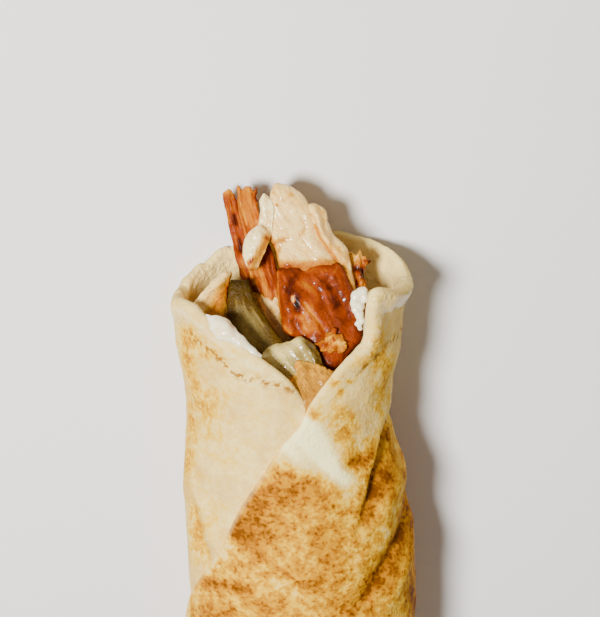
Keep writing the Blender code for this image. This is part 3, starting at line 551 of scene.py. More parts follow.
SPEAR_PALE = (
    (((-17.8, 0.7), (-16.7, -3.7), (-14, -8.6)), 3.5, 0.16),
    (((-13.8, -3.8), (-11.2, -7.7), (-8.4, -11.6)), 4, 0.26),
    (((-16, 3.2), (-15.4, 0.1), (-14.3, -2.7)), 0.3, 0.12),
    (((-17.9, 2.4), (-17.4, -1)), 0.3, 0.1),
    (((-13.7, 0.7), (-12, -2.1), (-10.1, -4.9)), 0.3, 0.12),
    (((-19.6, 7.4), (-16.8, 7.7), (-14.6, 7.4)), 1.2, -0.14),
)
ROUND_CREASES = (
    (((-9.5, -12.2), (-6.7, -15), (-4.2, -18.3), (-2.2, -21.7)), 1.0, -0.4),
    (((-6.7, -10.5), (-4.2, -13.3), (-1.7, -16.7)), 0.8, 0.4),
    (((-2.2, -9.1), (0.3, -11.6), (2, -15)), 0.8, -0.45),
    (((0, -8.3), (2.5, -10.8), (4.2, -14.4)), 0.7, 0.4),
)
ROUND_PALE = (
    (((-10.1, -12.2), (-7.3, -10.8), (-3.9, -10.2), (-1.1, -9.1)), 2.2, 0.4),
    (((-7.8, -13.6), (-4.5, -13)), 2.4, 0.3),
    (((1.7, -9.7), (3.6, -11.6), (5, -14.1), (5.6, -16.7)), 1.3, -0.24),
    (((-3.9, -17.2), (-2.5, -19.2)), 1.4, 0.15),
    (((-1.1, -13.3), (0, -16.1)), 1.4, -0.1),
)

# Finishes. The first four values are the places of a mix node's sockets. A noise is (bumps in a unit of
# length, detail, roughness, distortion), or its middle two where the first is given elsewhere. A stir is its
# two scales. A range is what comes in, and then what goes out.
MIX_SHARE = 0
MIX_VALUES = (2, 3)
MIX_COLOURS = (6, 7)
MIXED_COLOUR = 2
MOTTLE_SOCKETS = (
    ("Place", "NodeSocketVector", None), ("Value", "NodeSocketFloat", 0.0),
    ("Coarse Scale", "NodeSocketFloat", 0.3), ("Fine Scale", "NodeSocketFloat", 1.2),
    ("Amount", "NodeSocketFloat", 0.3),
)
MOTTLE_NOISE = (3.0, 0.6)
SPARKLE_SOCKETS = (
    ("Place", "NodeSocketVector", None), ("Scale", "NodeSocketFloat", 1.0),
    ("Wetness", "NodeSocketFloat", 0.5),
)
SPARKLE_NOISE = (2.0, 0.55)
SPARKLE_LEVEL = 0.85
SPARKLE_SPREAD = 0.6
SPARKLE_EDGE = 0.12

# The dough: patches stirred in two sizes, pushed about by a wobble, and broken up into clumps and dots
WOBBLE_NOISE = {"Scale": 0.6, "Detail": 2.0}
WOBBLE_MIDDLE = (0.5, 0.5, 0.5)
WOBBLE_PUSH = (1.2, 1.2, 1.2)
DOUGH_STIR = (0.15, 0.5)
CLUMP_NOISE = (2.0, 0.6)
CLUMP_GAIN = 1.4
DOT_NOISE = (1.5, 0.5)
DOT_GAIN = 0.9
BLOTCH_LEAST = -0.24
BLOTCH_BY_TOAST = (-0.1, 0.35, 0.15, 1.0)
TOAST_GAIN = 0.7
TOAST_LIFT = 0.2
TOAST_STOPS = (
    (0.0, "flour"), (0.2, "pale"), (0.33, "cream"), (0.5, "golden"), (0.74, "toasted"), (1.0, "scorched"),
)
SPOT_LEVEL = (0.1, 1.1, 0.78, 0.53)
SPOT_EDGE = (-0.03, 0.12)
SPOT_STRENGTH = 0.55

# Clouds of painted soft shade on pale dough, which fade where it is toasted and where it is floury
CLOUD_NOISE = (0.07, 3.0, 0.6)
CLOUD_EDGE = (0.42, 0.66)
CLOUD_BY_TOAST = (0.0, 0.3, 0.6, 0.0)
CLOUD_START = (-0.2, 0.0)

# The specks beside the edge, the crumb of the inner face, the torn rim and the smeared sauce
FRECKLE_NOISE = (0.5, 3.0, 0.6)
FRECKLE_EDGE = (0.47, 0.58)
CRUMB_NOISE = (0.55, 4.0, 0.65)
RIM_FADE = (0.0, 1.6, 1.0, 0.0)
RIM_STRENGTH = 0.25
SMEAR_STREAKS = 0.9
SMEAR_EDGE = (0.25, 1.1)
SMEAR_STRENGTH = 0.75

# The dough's relief and gloss, dry and damp
DOUGH_GRAIN = (1.1, 4.0, 0.6)
PORE_SCALE = 0.8
PORE_SHARE = 0.5
DRY_ROUGHNESS = (0.3, 0.7, 0.62, 0.8)
DAMP_ROUGHNESS = 0.16
DAMP_SCALE = 0.5
DAMP_HEIGHT = 0.25
DAMP_COAT = 0.5
BREAD_SURFACE = dict(Specular_IOR_Level=0.05, Coat_Roughness=0.2)

# Meat: streaks along its fibres, clouds, pits, and juice on it
MEAT_STIR = (0.45, 1.6)
MEAT_CLOUDS = (260.0, 3.0, 0.55, 0.8)
MEAT_STOPS = ((0.2, "tan"), (0.42, "golden"), (0.6, "roasted"), (0.82, "dark"), (1.0, "char"))
MEAT_GRAIN = (1.6, 4.0, 0.62)
MEAT_PITS = (1300.0, 3.0, 0.6)
PIT_SHARE = 0.3
MEAT_DROPS = 1500.0
JUICE_HEIGHT = 0.2
JUICE_COAT = 0.3
JUICE_LEAST = 0.02
MEAT_SPECULAR = 0.06
MEAT_SOFT_SPECULAR = 0.5
MEAT_SURFACE = dict(
    Roughness=0.55, Subsurface_Radius=(1.0, 0.6, 0.35), Subsurface_Scale=0.0015, Coat_Roughness=0.12
)

# Pickle: skin to flesh, with warts, and brine on it
PICKLE_STIR = (0.7, 2.4)
PICKLE_STOPS = ((0.0, "skin_dark"), (0.35, "skin"), (0.6, "flesh_green"), (1.0, "flesh"))
PICKLE_GRAIN = (1.5, 3.0, 0.6)
PICKLE_GRAIN_HEIGHT = 0.14
PICKLE_BUMPS = 900.0
PICKLE_BUMP_SHARE = -0.6
PICKLE_DROPS = 800.0
PICKLE_WETNESS = 0.75
PICKLE_SURFACE = dict(
    Roughness=0.4, Specular_IOR_Level=0.1, Subsurface_Weight=0.2, Subsurface_Radius=(0.8, 0.9, 0.3),
    Subsurface_Scale=0.002, Coat_Roughness=0.1,
)

# Sauce: swirls of juice, and a grain where it has set
SAUCE_SWIRL = (260.0, 3.0, 0.55, 0.6)
SWIRL_EDGE = (0.35, 0.7)
SAUCE_GRAIN = (700.0, 3.0, 0.5)
SAUCE_SET = (0.35, 0.65)
SAUCE_DULLING = 0.16
SAUCE_GRAIN_HEIGHT = 0.12
SAUCE_SURFACE = dict(
    Subsurface_Weight=0.6, Subsurface_Radius=(1.0, 0.85, 0.6), Subsurface_Scale=0.0025, Coat_Weight=0.5,
    Coat_Roughness=0.08,
)

# The floor's faint unevenness
FLOOR_NOISE = (8.0, 3.0, 0.5)
FLOOR_DARKER = 0.97
FLOOR_ROUGHNESS = 0.75


def smooth_curve(stations, at):
    """Values of a smooth curve through (place, value) stations."""
    places, values = (np.array(row, float) for row in zip(*stations))
    slopes = np.gradient(values, places)
    at = np.clip(np.asarray(at, float), places[0], places[-1])
    i = np.clip(np.searchsorted(places, at) - 1, 0, len(places) - 2)
    step = places[i + 1] - places[i]
    t = (at - places[i]) / step
    return (
        (2 * t**3 - 3 * t**2 + 1) * values[i]
        + (t**3 - 2 * t**2 + t) * step * slopes[i]
        + (3 * t**2 - 2 * t**3) * values[i + 1]
        + (t**3 - t**2) * step * slopes[i + 1]
    )


def smooth_step(low, high, value):
    t = np.clip((value - low) / (high - low), 0, 1)
    return t * t * (3 - 2 * t)


def roll_form(angle, along):
    """Points of the roll's outer form. along is the place along Y, and past the shoulder the arc there."""
    turn = np.radians(angle)
    over = np.clip((SHOULDER - along) / END_DEPTH, 0, math.pi / 2)
    closing = 1 - np.cos(over)
    y = np.maximum(along, SHOULDER) - END_DEPTH * np.sin(over)
    left = smooth_curve(LEFT_SIDE, y)
    right = smooth_curve(RIGHT_SIDE, y)
    crown = smooth_curve(CROWN, y)
    half_width = (right - left) / 2 * (1 - (1 - SEAM_WIDTH) * closing)
    half_height = (crown - UNDERSIDE) / 2 * (1 - (1 - SEAM_HEIGHT) * closing)
    x = (left + right) / 2 + half_width * np.sin(turn)
    z = (crown + UNDERSIDE) / 2 + half_height * np.cos(turn)
    above = z - FLOOR
    blended = (above + FLOOR_BLEND) ** 2 / (4 * FLOOR_BLEND)
    above = np.where(above < -FLOOR_BLEND, 0, np.where(above > FLOOR_BLEND, above, blended))
    return np.stack([x, y, FLOOR + above], axis=-1)


def roll_normal(angle, along):
    """Outward unit normals of the roll's form."""
    across = roll_form(angle + NORMAL_STEP, along) - roll_form(angle - NORMAL_STEP, along)
    onward = roll_form(angle, along + NORMAL_STEP) - roll_form(angle, along - NORMAL_STEP)
    normal = np.cross(across, onward)
    return normal / np.maximum(np.linalg.norm(normal, axis=-1, keepdims=True), NORMAL_LEAST)


def turn_offset(angle):
    """How far the sheet's outer face lies off the form: one turn further in is one sheet and a gap lower."""
    return -(SHEET + TURN_GAP) * np.asarray(angle, float) / 360


def distance_to_line(points, line):
    """For each point, its distance to a line, above 0 on its left, and how far along the line it is."""
    line = np.asarray(line, float)
    best = np.full(points.shape[:-1], np.inf)
    signed = np.zeros(points.shape[:-1])
    along = np.zeros(points.shape[:-1])
    for i, (start, end) in enumerate(zip(line[:-1], line[1:])):
        run = end - start
        t = np.clip(((points - start) @ run) / (run @ run), 0, 1)
        off = points - (start + t[..., None] * run)
        far = np.linalg.norm(off, axis=-1)
        side = np.sign(run[0] * off[..., 1] - run[1] * off[..., 0])
        nearer = far < best
        best = np.where(nearer, far, best)
        signed = np.where(nearer, far * side, signed)
        along = np.where(nearer, (i + t) / (len(line) - 1), along)
    return signed, along


def painted(points, strokes):
    """The sum of soft brush strokes over points in a plane."""
    field = np.zeros(points.shape[:-1])
    for line, reach, strength in strokes:
        off, _ = distance_to_line(points, line)
        field += strength * np.exp(-((off / reach) ** 2))
    return field


def rolling_noise(points, size, octaves, seed=0):
    """Soft noise at points, as an array with their shape. size is the width of its bumps."""
    shift = Vector([seed * part * SEED_STEP for part in SEED_PARTS])
    places = (np.asarray(points) / size).reshape(-1, 3)
    values = [noise.fractal(Vector(place) + shift, 1.0, 2.0, octaves) for place in places]
    return np.array(values).reshape(np.shape(points)[:-1])


def on_sheet(stations):
    """Stations given as (angle, place along Y), laid flat in millimetres."""
    return [(math.radians(angle) * FOLD_SCALE, along) for angle, along in stations]


def laid_flat(angle, along):
    """Arrays of angles and places along Y as points of the sheet laid flat, in millimetres."""
    return np.stack([np.radians(angle) * FOLD_SCALE, along], axis=-1)


def painted_sheet(flat, strokes):
    """The sum of brush strokes, given as (angle, place along Y) lines, over the sheet laid flat."""
    return painted(flat, [(on_sheet(line), reach, strength) for line, reach, strength in strokes])


def fold_relief(angle, along):
    """Height of the folds and pleats on the sheet's outer face."""
    wrapped = (np.asarray(angle) + 180) % 360 - 180
    place = laid_flat(wrapped, along)
    height = np.zeros(place.shape[:-1])
    for points, raised, sunk, width in FOLDS:
        off, t = distance_to_line(place, on_sheet(points))
        ends = np.sqrt(np.clip(np.sin(math.pi * np.clip(t, *FOLD_RUN)), 0, 1))
        near = np.exp(-((off / width) ** 2)) * ends
        side = smooth_step(-FOLD_EDGE, FOLD_EDGE, off)
        height += near * (raised * side - sunk * (1 - side))
    closing = smooth_step(SHOULDER, SHOULDER - END_TURN, along)
    pleats = np.sin(np.radians(wrapped) * PLEATS + PLEAT_SWAY * np.sin(np.radians(2 * wrapped)))
    return height + PLEAT_HEIGHT * pleats * closing * (PLEAT_FADE - closing)


def sheet_grid(columns, from_edge):
    """(angle, place along, distance to the nearest edge, angle there) over the sheet, as columns by rows."""
    knots = np.arange(len(EDGE))
    angles, places = (np.array(row, float) for row in zip(*EDGE))
    fine = np.linspace(0, knots[-1], EDGE_SAMPLES)
    edge_angle = smooth_curve(list(zip(knots, angles)), fine)
    edge_place = smooth_curve(list(zip(knots, places)), fine)
    stride = np.hypot(np.radians(np.diff(edge_angle)) * FOLD_SCALE, np.diff(edge_place))
    travelled = np.concatenate([[0], np.cumsum(stride)])
    even = np.linspace(0, travelled[-1], columns + 1)
    edge_angle = np.interp(even, travelled, edge_angle)
    edge_place = np.interp(even, travelled, edge_place)
    end_angle = np.linspace(FIRST_ANGLE, LAST_ANGLE, columns + 1)
    end_place = SHOULDER - END_TURN
    t = np.asarray(from_edge, float)[None, :]
    angle = edge_angle[:, None] * (1 - t) + end_angle[:, None] * t
    along = edge_place[:, None] * (1 - t) + end_place * t
    sides = laid_flat(np.array([FIRST_ANGLE, LAST_ANGLE]), np.full(2, end_place))
    border = np.concatenate([sides[:1], laid_flat(edge_angle, edge_place), sides[1:]])
    to_edge, reached = distance_to_line(laid_flat(angle, along), border)
    to_edge = np.abs(to_edge)
    ends = np.concatenate([[FIRST_ANGLE], edge_angle, [LAST_ANGLE]])
    nearest = np.interp(reached, np.linspace(0, 1, len(border)), ends)
    tear = np.stack([even / TEAR_WIDTH, even * 0, even * 0], axis=-1)
    teeth = smooth_curve(RAGGED, edge_angle) * rolling_noise(tear, 1, octaves=4)
    along = along + teeth[:, None] * np.exp(-to_edge / RAGGED_REACH) * (1 - t)
    return angle, along, to_edge, nearest


def sheet_faces(columns, from_edge):
    """The sheet's outer and inner face, each as columns by rows of points, and the grid they come from."""
    angle, along, to_edge, edge_angle = sheet_grid(columns, from_edge)
    form = roll_form(angle, along)
    normal = roll_normal(angle, along)
    flat = np.stack([np.radians(angle) * FOLD_SCALE, along, np.zeros_like(along)], axis=-1)
    lumps = rolling_noise(flat, LUMP_SIZE, octaves=2, seed=1)
    ripples = rolling_noise(flat, RIPPLE_SIZE, octaves=3, seed=2)
    lip = smooth_curve(LIP, edge_angle) * np.exp(-(((to_edge - LIP_REACH) / LIP_WIDTH) ** 2))
    lip = lip * (1 + LIP_LUMPS * lumps)
    flare = smooth_curve(FLARE, edge_angle) * np.exp(-((to_edge / FLARE_WIDTH) ** 2))
    relief = fold_relief(angle, along)
    covered = smooth_step(*COVERED, angle)
    relief = np.minimum(relief, 0) + np.maximum(relief, 0) * (1 - covered)
    fine = (LUMP_HEIGHT * lumps + RIPPLE_HEIGHT * ripples) * (1 - covered)
    outer = turn_offset(angle) + relief + fine + flare + LIP_OUTWARD * lip
    wall = WALL_LUMPS * rolling_noise(flat, WALL_SIZE, octaves=3, seed=3) * np.exp(-to_edge / WALL_REACH)
    sunk = np.minimum(relief, 0) * FOLD_THROUGH
    inner = turn_offset(angle) - SHEET - LIP_INWARD * lip + sunk + flare + wall
    middle = (outer + inner) / 2
    near_edge = np.clip(1 - to_edge / EDGE_ROUND, 0, 1)
    rounding = np.maximum(np.sqrt(1 - near_edge**2), EDGE_LEAST)
    faces = []
    for offset in (outer, inner):
        points = form + normal * (middle + (offset - middle) * rounding)[..., None]
        points[..., 2] = np.maximum(points[..., 2], 0)
        faces.append(points)
    return faces, angle, along, to_edge


def row_shares(rows):
    """How far along each column its rows lie, from 0 at the edge to 1, close together near the edge."""
    even = np.linspace(0, 1, rows)
    return ROW_CROWDING * even + (1 - ROW_CROWDING) * even**ROW_POWER


def linked_object(name, data):
    obj = bpy.data.objects.new(name, data)
    bpy.context.scene.collection.objects.link(obj)
    return obj


def shaped_object(name, bm, scale=MM):
    """An object from a shape. scale turns its units into metres."""
    bmesh.ops.scale(bm, vec=(scale, scale, scale), verts=bm.verts)
    mesh = bpy.data.meshes.new(name)
    bm.to_mesh(mesh)
    bm.free()
    return linked_object(name, mesh)


def stands_for(obj, node, material):
    """Gives a piece its finish, ties it to the root, and hides the part of the model that it shows in place
    of.
    """
    obj.data.materials.clear()
    obj.data.materials.append(material)
    obj.data.shade_smooth()
    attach(obj, "root")
    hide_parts(node)


def read_vectors(mesh, key):
    values = np.empty(len(mesh.vertices) * 3)
    mesh.vertices.foreach_get(key, values)
    return values.reshape(-1, 3)


def read_places(mesh):
    """Where the vertices lie, in millimetres."""
    return read_vectors(mesh, "co") / MM


def write_places(mesh, places):
    """Moves the vertices to places in millimetres."""
    mesh.vertices.foreach_set("co", (places * MM).ravel())


def write_vectors(mesh, name, values):
    field = mesh.attributes.new(name, "FLOAT_VECTOR", "POINT")
    field.data.foreach_set("vector", np.asarray(values, np.float32).ravel())


def write_field(mesh, name, values):
    field = mesh.attributes.new(name, "FLOAT", "POINT")
    field.data.foreach_set("value", np.asarray(values, np.float32).ravel())


def add_face_grid(bm, points, flip):
    """One face of the sheet from a grid of points: its vertices column by column, and its boundary edges."""
    columns, rows = points.shape[:2]
    grid = bmesh.ops.create_grid(bm, x_segments=columns - 1, y_segments=rows - 1, size=1)["verts"]
    grid.sort(key=lambda v: (round(v.co.x * (columns - 1)), round(v.co.y * (rows - 1))))
    for vert, point in zip(grid, points.reshape(-1, 3)):
        vert.co = point
    faces = list({face for vert in grid for face in vert.link_faces})
    if flip:
        bmesh.ops.reverse_faces(bm, faces=faces)
    return grid, [edge for edge in {e for f in faces for e in f.edges} if edge.is_boundary]


def remeshed(obj, voxel, softening):
    """Joins the overlapping shapes of an object into one skin of even small faces, and softens it."""
    skin = obj.modifiers.new("skin", "REMESH")
    skin.mode = "VOXEL"
    skin.voxel_size = voxel * MM
    soften = obj.modifiers.new("soften", "SMOOTH")
    soften.factor = 0.5
    soften.iterations = softening
    bpy.context.view_layer.update()
    graph = bpy.context.evaluated_depsgraph_get()
    mesh = bpy.data.meshes.new_from_object(obj.evaluated_get(graph))
    obj.modifiers.clear()
    obj.data = mesh
    return obj


def add_slab(bm, outline, back, front, round_by):
    """A slab with rounded edges that narrows to the back, from its front outline and its faces' depths."""
    mid_x, mid_y = np.mean(outline, axis=0)
    drawn_in = [(mid_x + BACK_TAPER * (x - mid_x), mid_y + BACK_TAPER * (y - mid_y)) for x, y in outline]
    face = bm.faces.new([bm.verts.new((x, y, back)) for x, y in drawn_in])
    raised = bmesh.ops.extrude_face_region(bm, geom=[face])["geom"]
    top = [v for v in raised if isinstance(v, bmesh.types.BMVert)]
    bmesh.ops.translate(bm, vec=(-mid_x, -mid_y, front - back), verts=top)
    bmesh.ops.scale(bm, vec=(1 / BACK_TAPER, 1 / BACK_TAPER, 1), verts=top)
    bmesh.ops.translate(bm, vec=(mid_x, mid_y, 0), verts=top)
    faces = list({f for v in set(top) | set(face.verts) for f in v.link_faces})
    bmesh.ops.recalc_face_normals(bm, faces=faces)
    edges = {e for f in faces for e in f.edges}
    rims = [e for e in edges if abs(e.verts[0].co.z - e.verts[1].co.z) < LEVEL_WITHIN]
    bmesh.ops.bevel(
        bm, geom=rims, offset=round_by, segments=3, profile=0.5, affect="EDGES", material=-1,
        clamp_overlap=True,
    )


def fibre_places(places, turn, width, length, seed):
    """Places drawn out along a direction in the filling plane, as meat fibres are."""
    c, s = math.cos(math.radians(turn)), math.sin(math.radians(turn))
    bend = FIBRE_BEND * rolling_noise(places, FIBRE_BEND_SIZE, octaves=1, seed=seed + 1)
    run = places[:, 0] * c + places[:, 1] * s
    across = places[:, 1] * c - places[:, 0] * s + bend
    return np.stack([run / length, across / width, places[:, 2] / width], axis=-1)


def modelled(mesh, outline, dome, lumps, fibres, creases, seed):
    """Works a piece over in its own plane: its crown, lumps, fibres and creases."""
    places = read_places(mesh)
    normals = read_vectors(mesh, "normal")
    flat = places[:, :2]
    in_by, _ = distance_to_line(flat, list(outline) + [outline[0]])
    facing = np.clip(normals[:, 2], 0, 1)
    raised = dome * smooth_step(0, DOME_REACH, np.abs(in_by)) * facing
    raised += painted(flat, creases) * facing
    height, size = lumps
    relief = height * rolling_noise(places, size, octaves=3, seed=seed)
    turn, depth, width, length = fibres
    drawn = fibre_places(places, turn, width, length, seed)
    relief -= depth * FIBRE_GAIN * np.abs(rolling_noise(drawn, 1, octaves=2, seed=seed))
    moved = places + normals * relief[:, None]
    moved[:, 2] += raised
    write_places(mesh, moved)
    mesh.update()
    write_vectors(mesh, "grain", drawn)
    return places


def make_piece(name, node, slabs, material, field, base, strokes, dome, lumps, fibres, creases, voxel, seed,
               slope=(0, 0), round_by=1.2, softening=3):
    """A piece of filling from slabs that overlap. slope leans its faces by depth across and depth along."""
    bm = bmesh.new()
    for outline, back, front in slabs:
        add_slab(bm, outline, back, front, round_by)
    middle = sum((v.co for v in bm.verts), Vector()) / len(bm.verts)
    for vert in bm.verts:
        vert.co.z += slope[0] * (vert.co.x - middle.x) + slope[1] * (vert.co.y - middle.y)
    obj = remeshed(shaped_object(name, bm), voxel, softening)
    places = modelled(obj.data, slabs[0][0], dome, lumps, fibres, creases, seed)
    write_field(obj.data, field, base + painted(places[:, :2], strokes))
    obj.data.transform(FILLING_PLACE)
    stands_for(obj, node, material)


def edge_points(first, last, count, inward):
    """Points along the bread's edge between two angles, this far inside its middle."""
    stations = [(a, y) for a, y in EDGE if a > BEAD_EDGE_FROM]
    angle = np.linspace(first, last, count)
    along = smooth_curve(stations, angle)
    offset = turn_offset(angle) - SHEET / 2 - inward
    return roll_form(angle, along) + roll_normal(angle, along) * offset[:, None]


def make_sauce(name, node, centres, radii, material, voxel):
    """Sauce from balls run together."""
    bm = bmesh.new()
    for centre, radius in zip(centres, radii):
        ball = bmesh.ops.create_icosphere(bm, subdivisions=3, radius=radius)["verts"]
        bmesh.ops.translate(bm, vec=centre, verts=ball)
    obj = remeshed(shaped_object(name, bm), voxel, SAUCE_SOFTENING)
    mesh = obj.data
    places = read_places(mesh)
    lumps = SAUCE_LUMPS * rolling_noise(places, SAUCE_LUMP_SIZE, octaves=2, seed=30)
    write_places(mesh, places + read_vectors(mesh, "normal") * lumps[:, None])
    stands_for(obj, node, material)


def fill_socket(tree, socket, value):
    """Links a socket from an output, or gives it a value. A colour is given without its alpha."""
    if isinstance(value, bpy.types.NodeSocket):
        tree.links.new(value, socket)
    else:
        socket.default_value = (*value[:3], 1) if socket.type == "RGBA" else value


def add_node(tree, kind, inputs=None, **settings):
    """A new node with its settings, and each named input given a value or linked from an output."""
    node = tree.nodes.new(kind)
    for key, value in settings.items():
        setattr(node, key, value)
    for socket, value in (inputs or {}).items():
        fill_socket(tree, node.inputs[socket], value)
    return node


def math_node(tree, operation, first, second=0.0, third=0.0, clamp=False):
    inputs = {0: first, 1: second, 2: third}
    return add_node(tree, "ShaderNodeMath", inputs, operation=operation, use_clamp=clamp).outputs[0]


def product(tree, first, second, clamp=False):
    return math_node(tree, "MULTIPLY", first, second, clamp=clamp)


def centred(tree, value):
    """Noise moved to lie round 0."""
    return math_node(tree, "SUBTRACT", value, 0.5)


def scaled_sum(tree, value, gain, more, clamp=False):
    """A value times a gain, added to more."""
    return math_node(tree, "MULTIPLY_ADD", value, gain, more, clamp)


def range_node(tree, value, low, high, to_low=0.0, to_high=1.0):
    """Eases a value from one range to another, held at its ends."""
    inputs = {"Value": value, "From Min": low, "From Max": high, "To Min": to_low, "To Max": to_high}
    return add_node(tree, "ShaderNodeMapRange", inputs, interpolation_type="SMOOTHSTEP").outputs["Result"]


def noise_node(tree, vector, scale, detail, roughness, distortion=0.0):
    inputs = {
        "Vector": vector, "Scale": scale, "Detail": detail, "Roughness": roughness, "Distortion": distortion,
    }
    return add_node(tree, "ShaderNodeTexNoise", inputs).outputs["Fac"]


def cell_node(tree, vector, scale):
    """How far each place is from the middle of its soft cell."""
    inputs = {"Vector": vector, "Scale": scale}
    return add_node(tree, "ShaderNodeTexVoronoi", inputs, feature="SMOOTH_F1").outputs["Distance"]


def mix_colours(tree, share, first, second):
    """Two colours mixed by a share."""
    node = add_node(tree, "ShaderNodeMix", data_type="RGBA", clamp_factor=True)
    for socket, value in zip((MIX_SHARE, *MIX_COLOURS), (share, first, second)):
        fill_socket(tree, node.inputs[socket], value)
    return node.outputs[MIXED_COLOUR]


def ramp_node(tree, value, stops):
    """A colour ramp from (position, colour) stops."""
    node = add_node(tree, "ShaderNodeValToRGB", {"Fac": value})
    band = node.color_ramp.elements
    while len(band) < len(stops):
        band.new(1.0)
    for element, (position, colour) in zip(band, stops):
        element.position = position
        element.color = (*colour[:3], 1)
    return node.outputs["Color"]


def named_stops(settings, stops):
    """Ramp stops whose colours are named settings."""
    return [(position, getattr(settings, name)) for position, name in stops]


def field_node(tree, name, output="Fac"):
    return add_node(tree, "ShaderNodeAttribute", attribute_name=name).outputs[output]


def object_place(tree):
    return add_node(tree, "ShaderNodeTexCoord").outputs["Object"]


def bump_node(tree, height, distance, normal=None):
    """Normals raised by a height, whose full distance is in millimetres."""
    inputs = {"Height": height, "Distance": distance * MM}
    if normal is not None:
        inputs["Normal"] = normal
    return add_node(tree, "ShaderNodeBump", inputs).outputs["Normal"]


def new_group(name, inputs, outputs):
    """An empty node group with its sockets: (name, kind, default) in and names of values out."""
    group = bpy.data.node_groups.new(name, "ShaderNodeTree")
    for socket, kind, value in inputs:
        made = group.interface.new_socket(socket, in_out="INPUT", socket_type=kind)
        if value is not None:
            made.default_value = value
    for socket in outputs:
        group.interface.new_socket(socket, in_out="OUTPUT", socket_type="NodeSocketFloat")
    return group, add_node(group, "NodeGroupInput").outputs, add_node(group, "NodeGroupOutput").inputs


def build_mottle(name):
    """Uneven browning: a value stirred by noise of two sizes."""
    group, given, out = new_group(name, MOTTLE_SOCKETS, ["Value"])
    coarse = noise_node(group, given["Place"], given["Coarse Scale"], *MOTTLE_NOISE)
    fine = noise_node(group, given["Place"], given["Fine Scale"], *MOTTLE_NOISE)
    both = math_node(group, "ADD", centred(group, coarse), centred(group, fine))
    group.links.new(scaled_sum(group, both, given["Amount"], given["Value"]), out["Value"])
    return group


def build_sparkle(name):
    """Droplets and films of juice: a mask of where a surface is wet, and their height."""
    group, given, out = new_group(name, SPARKLE_SOCKETS, ["Wet", "Height"])
    film = noise_node(group, given["Place"], given["Scale"], *SPARKLE_NOISE)
    level = math_node(group, "SUBTRACT", SPARKLE_LEVEL, product(group, given["Wetness"], SPARKLE_SPREAD))
    wet = range_node(group, film, level, math_node(group, "ADD", level, SPARKLE_EDGE))
    group.links.new(wet, out["Wet"])
    group.links.new(product(group, wet, film), out["Height"])
    return group


def placed_group(tree, name, build, inputs):
    """A group's node. The group is built the first time that it is asked for."""
    group = bpy.data.node_groups.get(name) or build(name)
    return add_node(tree, "ShaderNodeGroup", inputs, node_tree=group).outputs


def mottled(tree, place, value, scales, amount):
    """A value stirred by noise of two scales."""
    inputs = {
        "Place": place, "Value": value, "Coarse Scale": scales[0], "Fine Scale": scales[1], "Amount": amount,
    }
    return placed_group(tree, "Mottle", build_mottle, inputs)["Value"]


def sparkling(tree, place, scale, wetness):
    """Where a surface is wet, and the height of the wet film."""
    inputs = {"Place": place, "Scale": scale, "Wetness": wetness}
    made = placed_group(tree, "Sparkle", build_sparkle, inputs)
    return made["Wet"], made["Height"]


def new_material(name):
    """A material with an empty tree, its Principled shader and its output."""
    material = bpy.data.materials.new(name)
    material.use_nodes = True
    tree = material.node_tree
    tree.nodes.clear()
    shader = add_node(tree, "ShaderNodeBsdfPrincipled")
    add_node(tree, "ShaderNodeOutputMaterial", {"Surface": shader.outputs["BSDF"]})
    return material, tree, shader


def set_shader(tree, shader, **inputs):
    """Gives the shader's sockets their values or links, with words of a name joined by _."""
    for key, value in inputs.items():
        fill_socket(tree, shader.inputs[key.replace("_", " ")], value)


def bread_height(tree, place, shifted, settings):
    """The dough's grain, and normals raised by it and by its pores."""
    grain = noise_node(tree, place, *DOUGH_GRAIN)
    height = scaled_sum(tree, cell_node(tree, shifted, PORE_SCALE), PORE_SHARE, grain)
    return grain, bump_node(tree, height, settings.grain_height)


def toasted_colour(tree, place, shifted, settings):
    """The outer face: toast, painted shade and highlights in patches that break into spots; specks by its
    edge.
    """
    # This field holds the toast with painted shade and painted highlights mixed in
    toast = field_node(tree, "toast")
    stirred = mottled(tree, place, 0.0, DOUGH_STIR, settings.mottle)
    clumps = noise_node(tree, shifted, 1 / settings.spot_spacing, *CLUMP_NOISE)
    dots = noise_node(tree, shifted, 1 / settings.spot_size, *DOT_NOISE)
    clumped = scaled_sum(tree, centred(tree, clumps), CLUMP_GAIN, stirred)
    patchy = scaled_sum(tree, centred(tree, dots), DOT_GAIN, clumped)
    blotched = math_node(tree, "MAXIMUM", patchy, BLOTCH_LEAST)
    uneven = scaled_sum(tree, blotched, range_node(tree, toast, *BLOTCH_BY_TOAST), toast)
    level = range_node(tree, uneven, *SPOT_LEVEL)
    scorched = range_node(tree, math_node(tree, "SUBTRACT", dots, level), *SPOT_EDGE)
    heat = scaled_sum(tree, uneven, TOAST_GAIN, TOAST_LIFT)
    warm = ramp_node(tree, heat, named_stops(settings, TOAST_STOPS))
    # Painted soft shade: greyish clouds over the pale dough
    clouds = range_node(tree, noise_node(tree, place, *CLOUD_NOISE), *CLOUD_EDGE)
    bare = product(tree, range_node(tree, toast, *CLOUD_BY_TOAST), range_node(tree, toast, *CLOUD_START))
    clouded = mix_colours(tree, product(tree, clouds, bare), warm, settings.dull)
    browned = mix_colours(tree, product(tree, scorched, SPOT_STRENGTH), clouded, settings.spots)
    speckle = range_node(tree, noise_node(tree, place, *FRECKLE_NOISE), *FRECKLE_EDGE)
    marks = product(tree, speckle, field_node(tree, "specks"), clamp=True)
    return mix_colours(tree, marks, browned, settings.freckles)


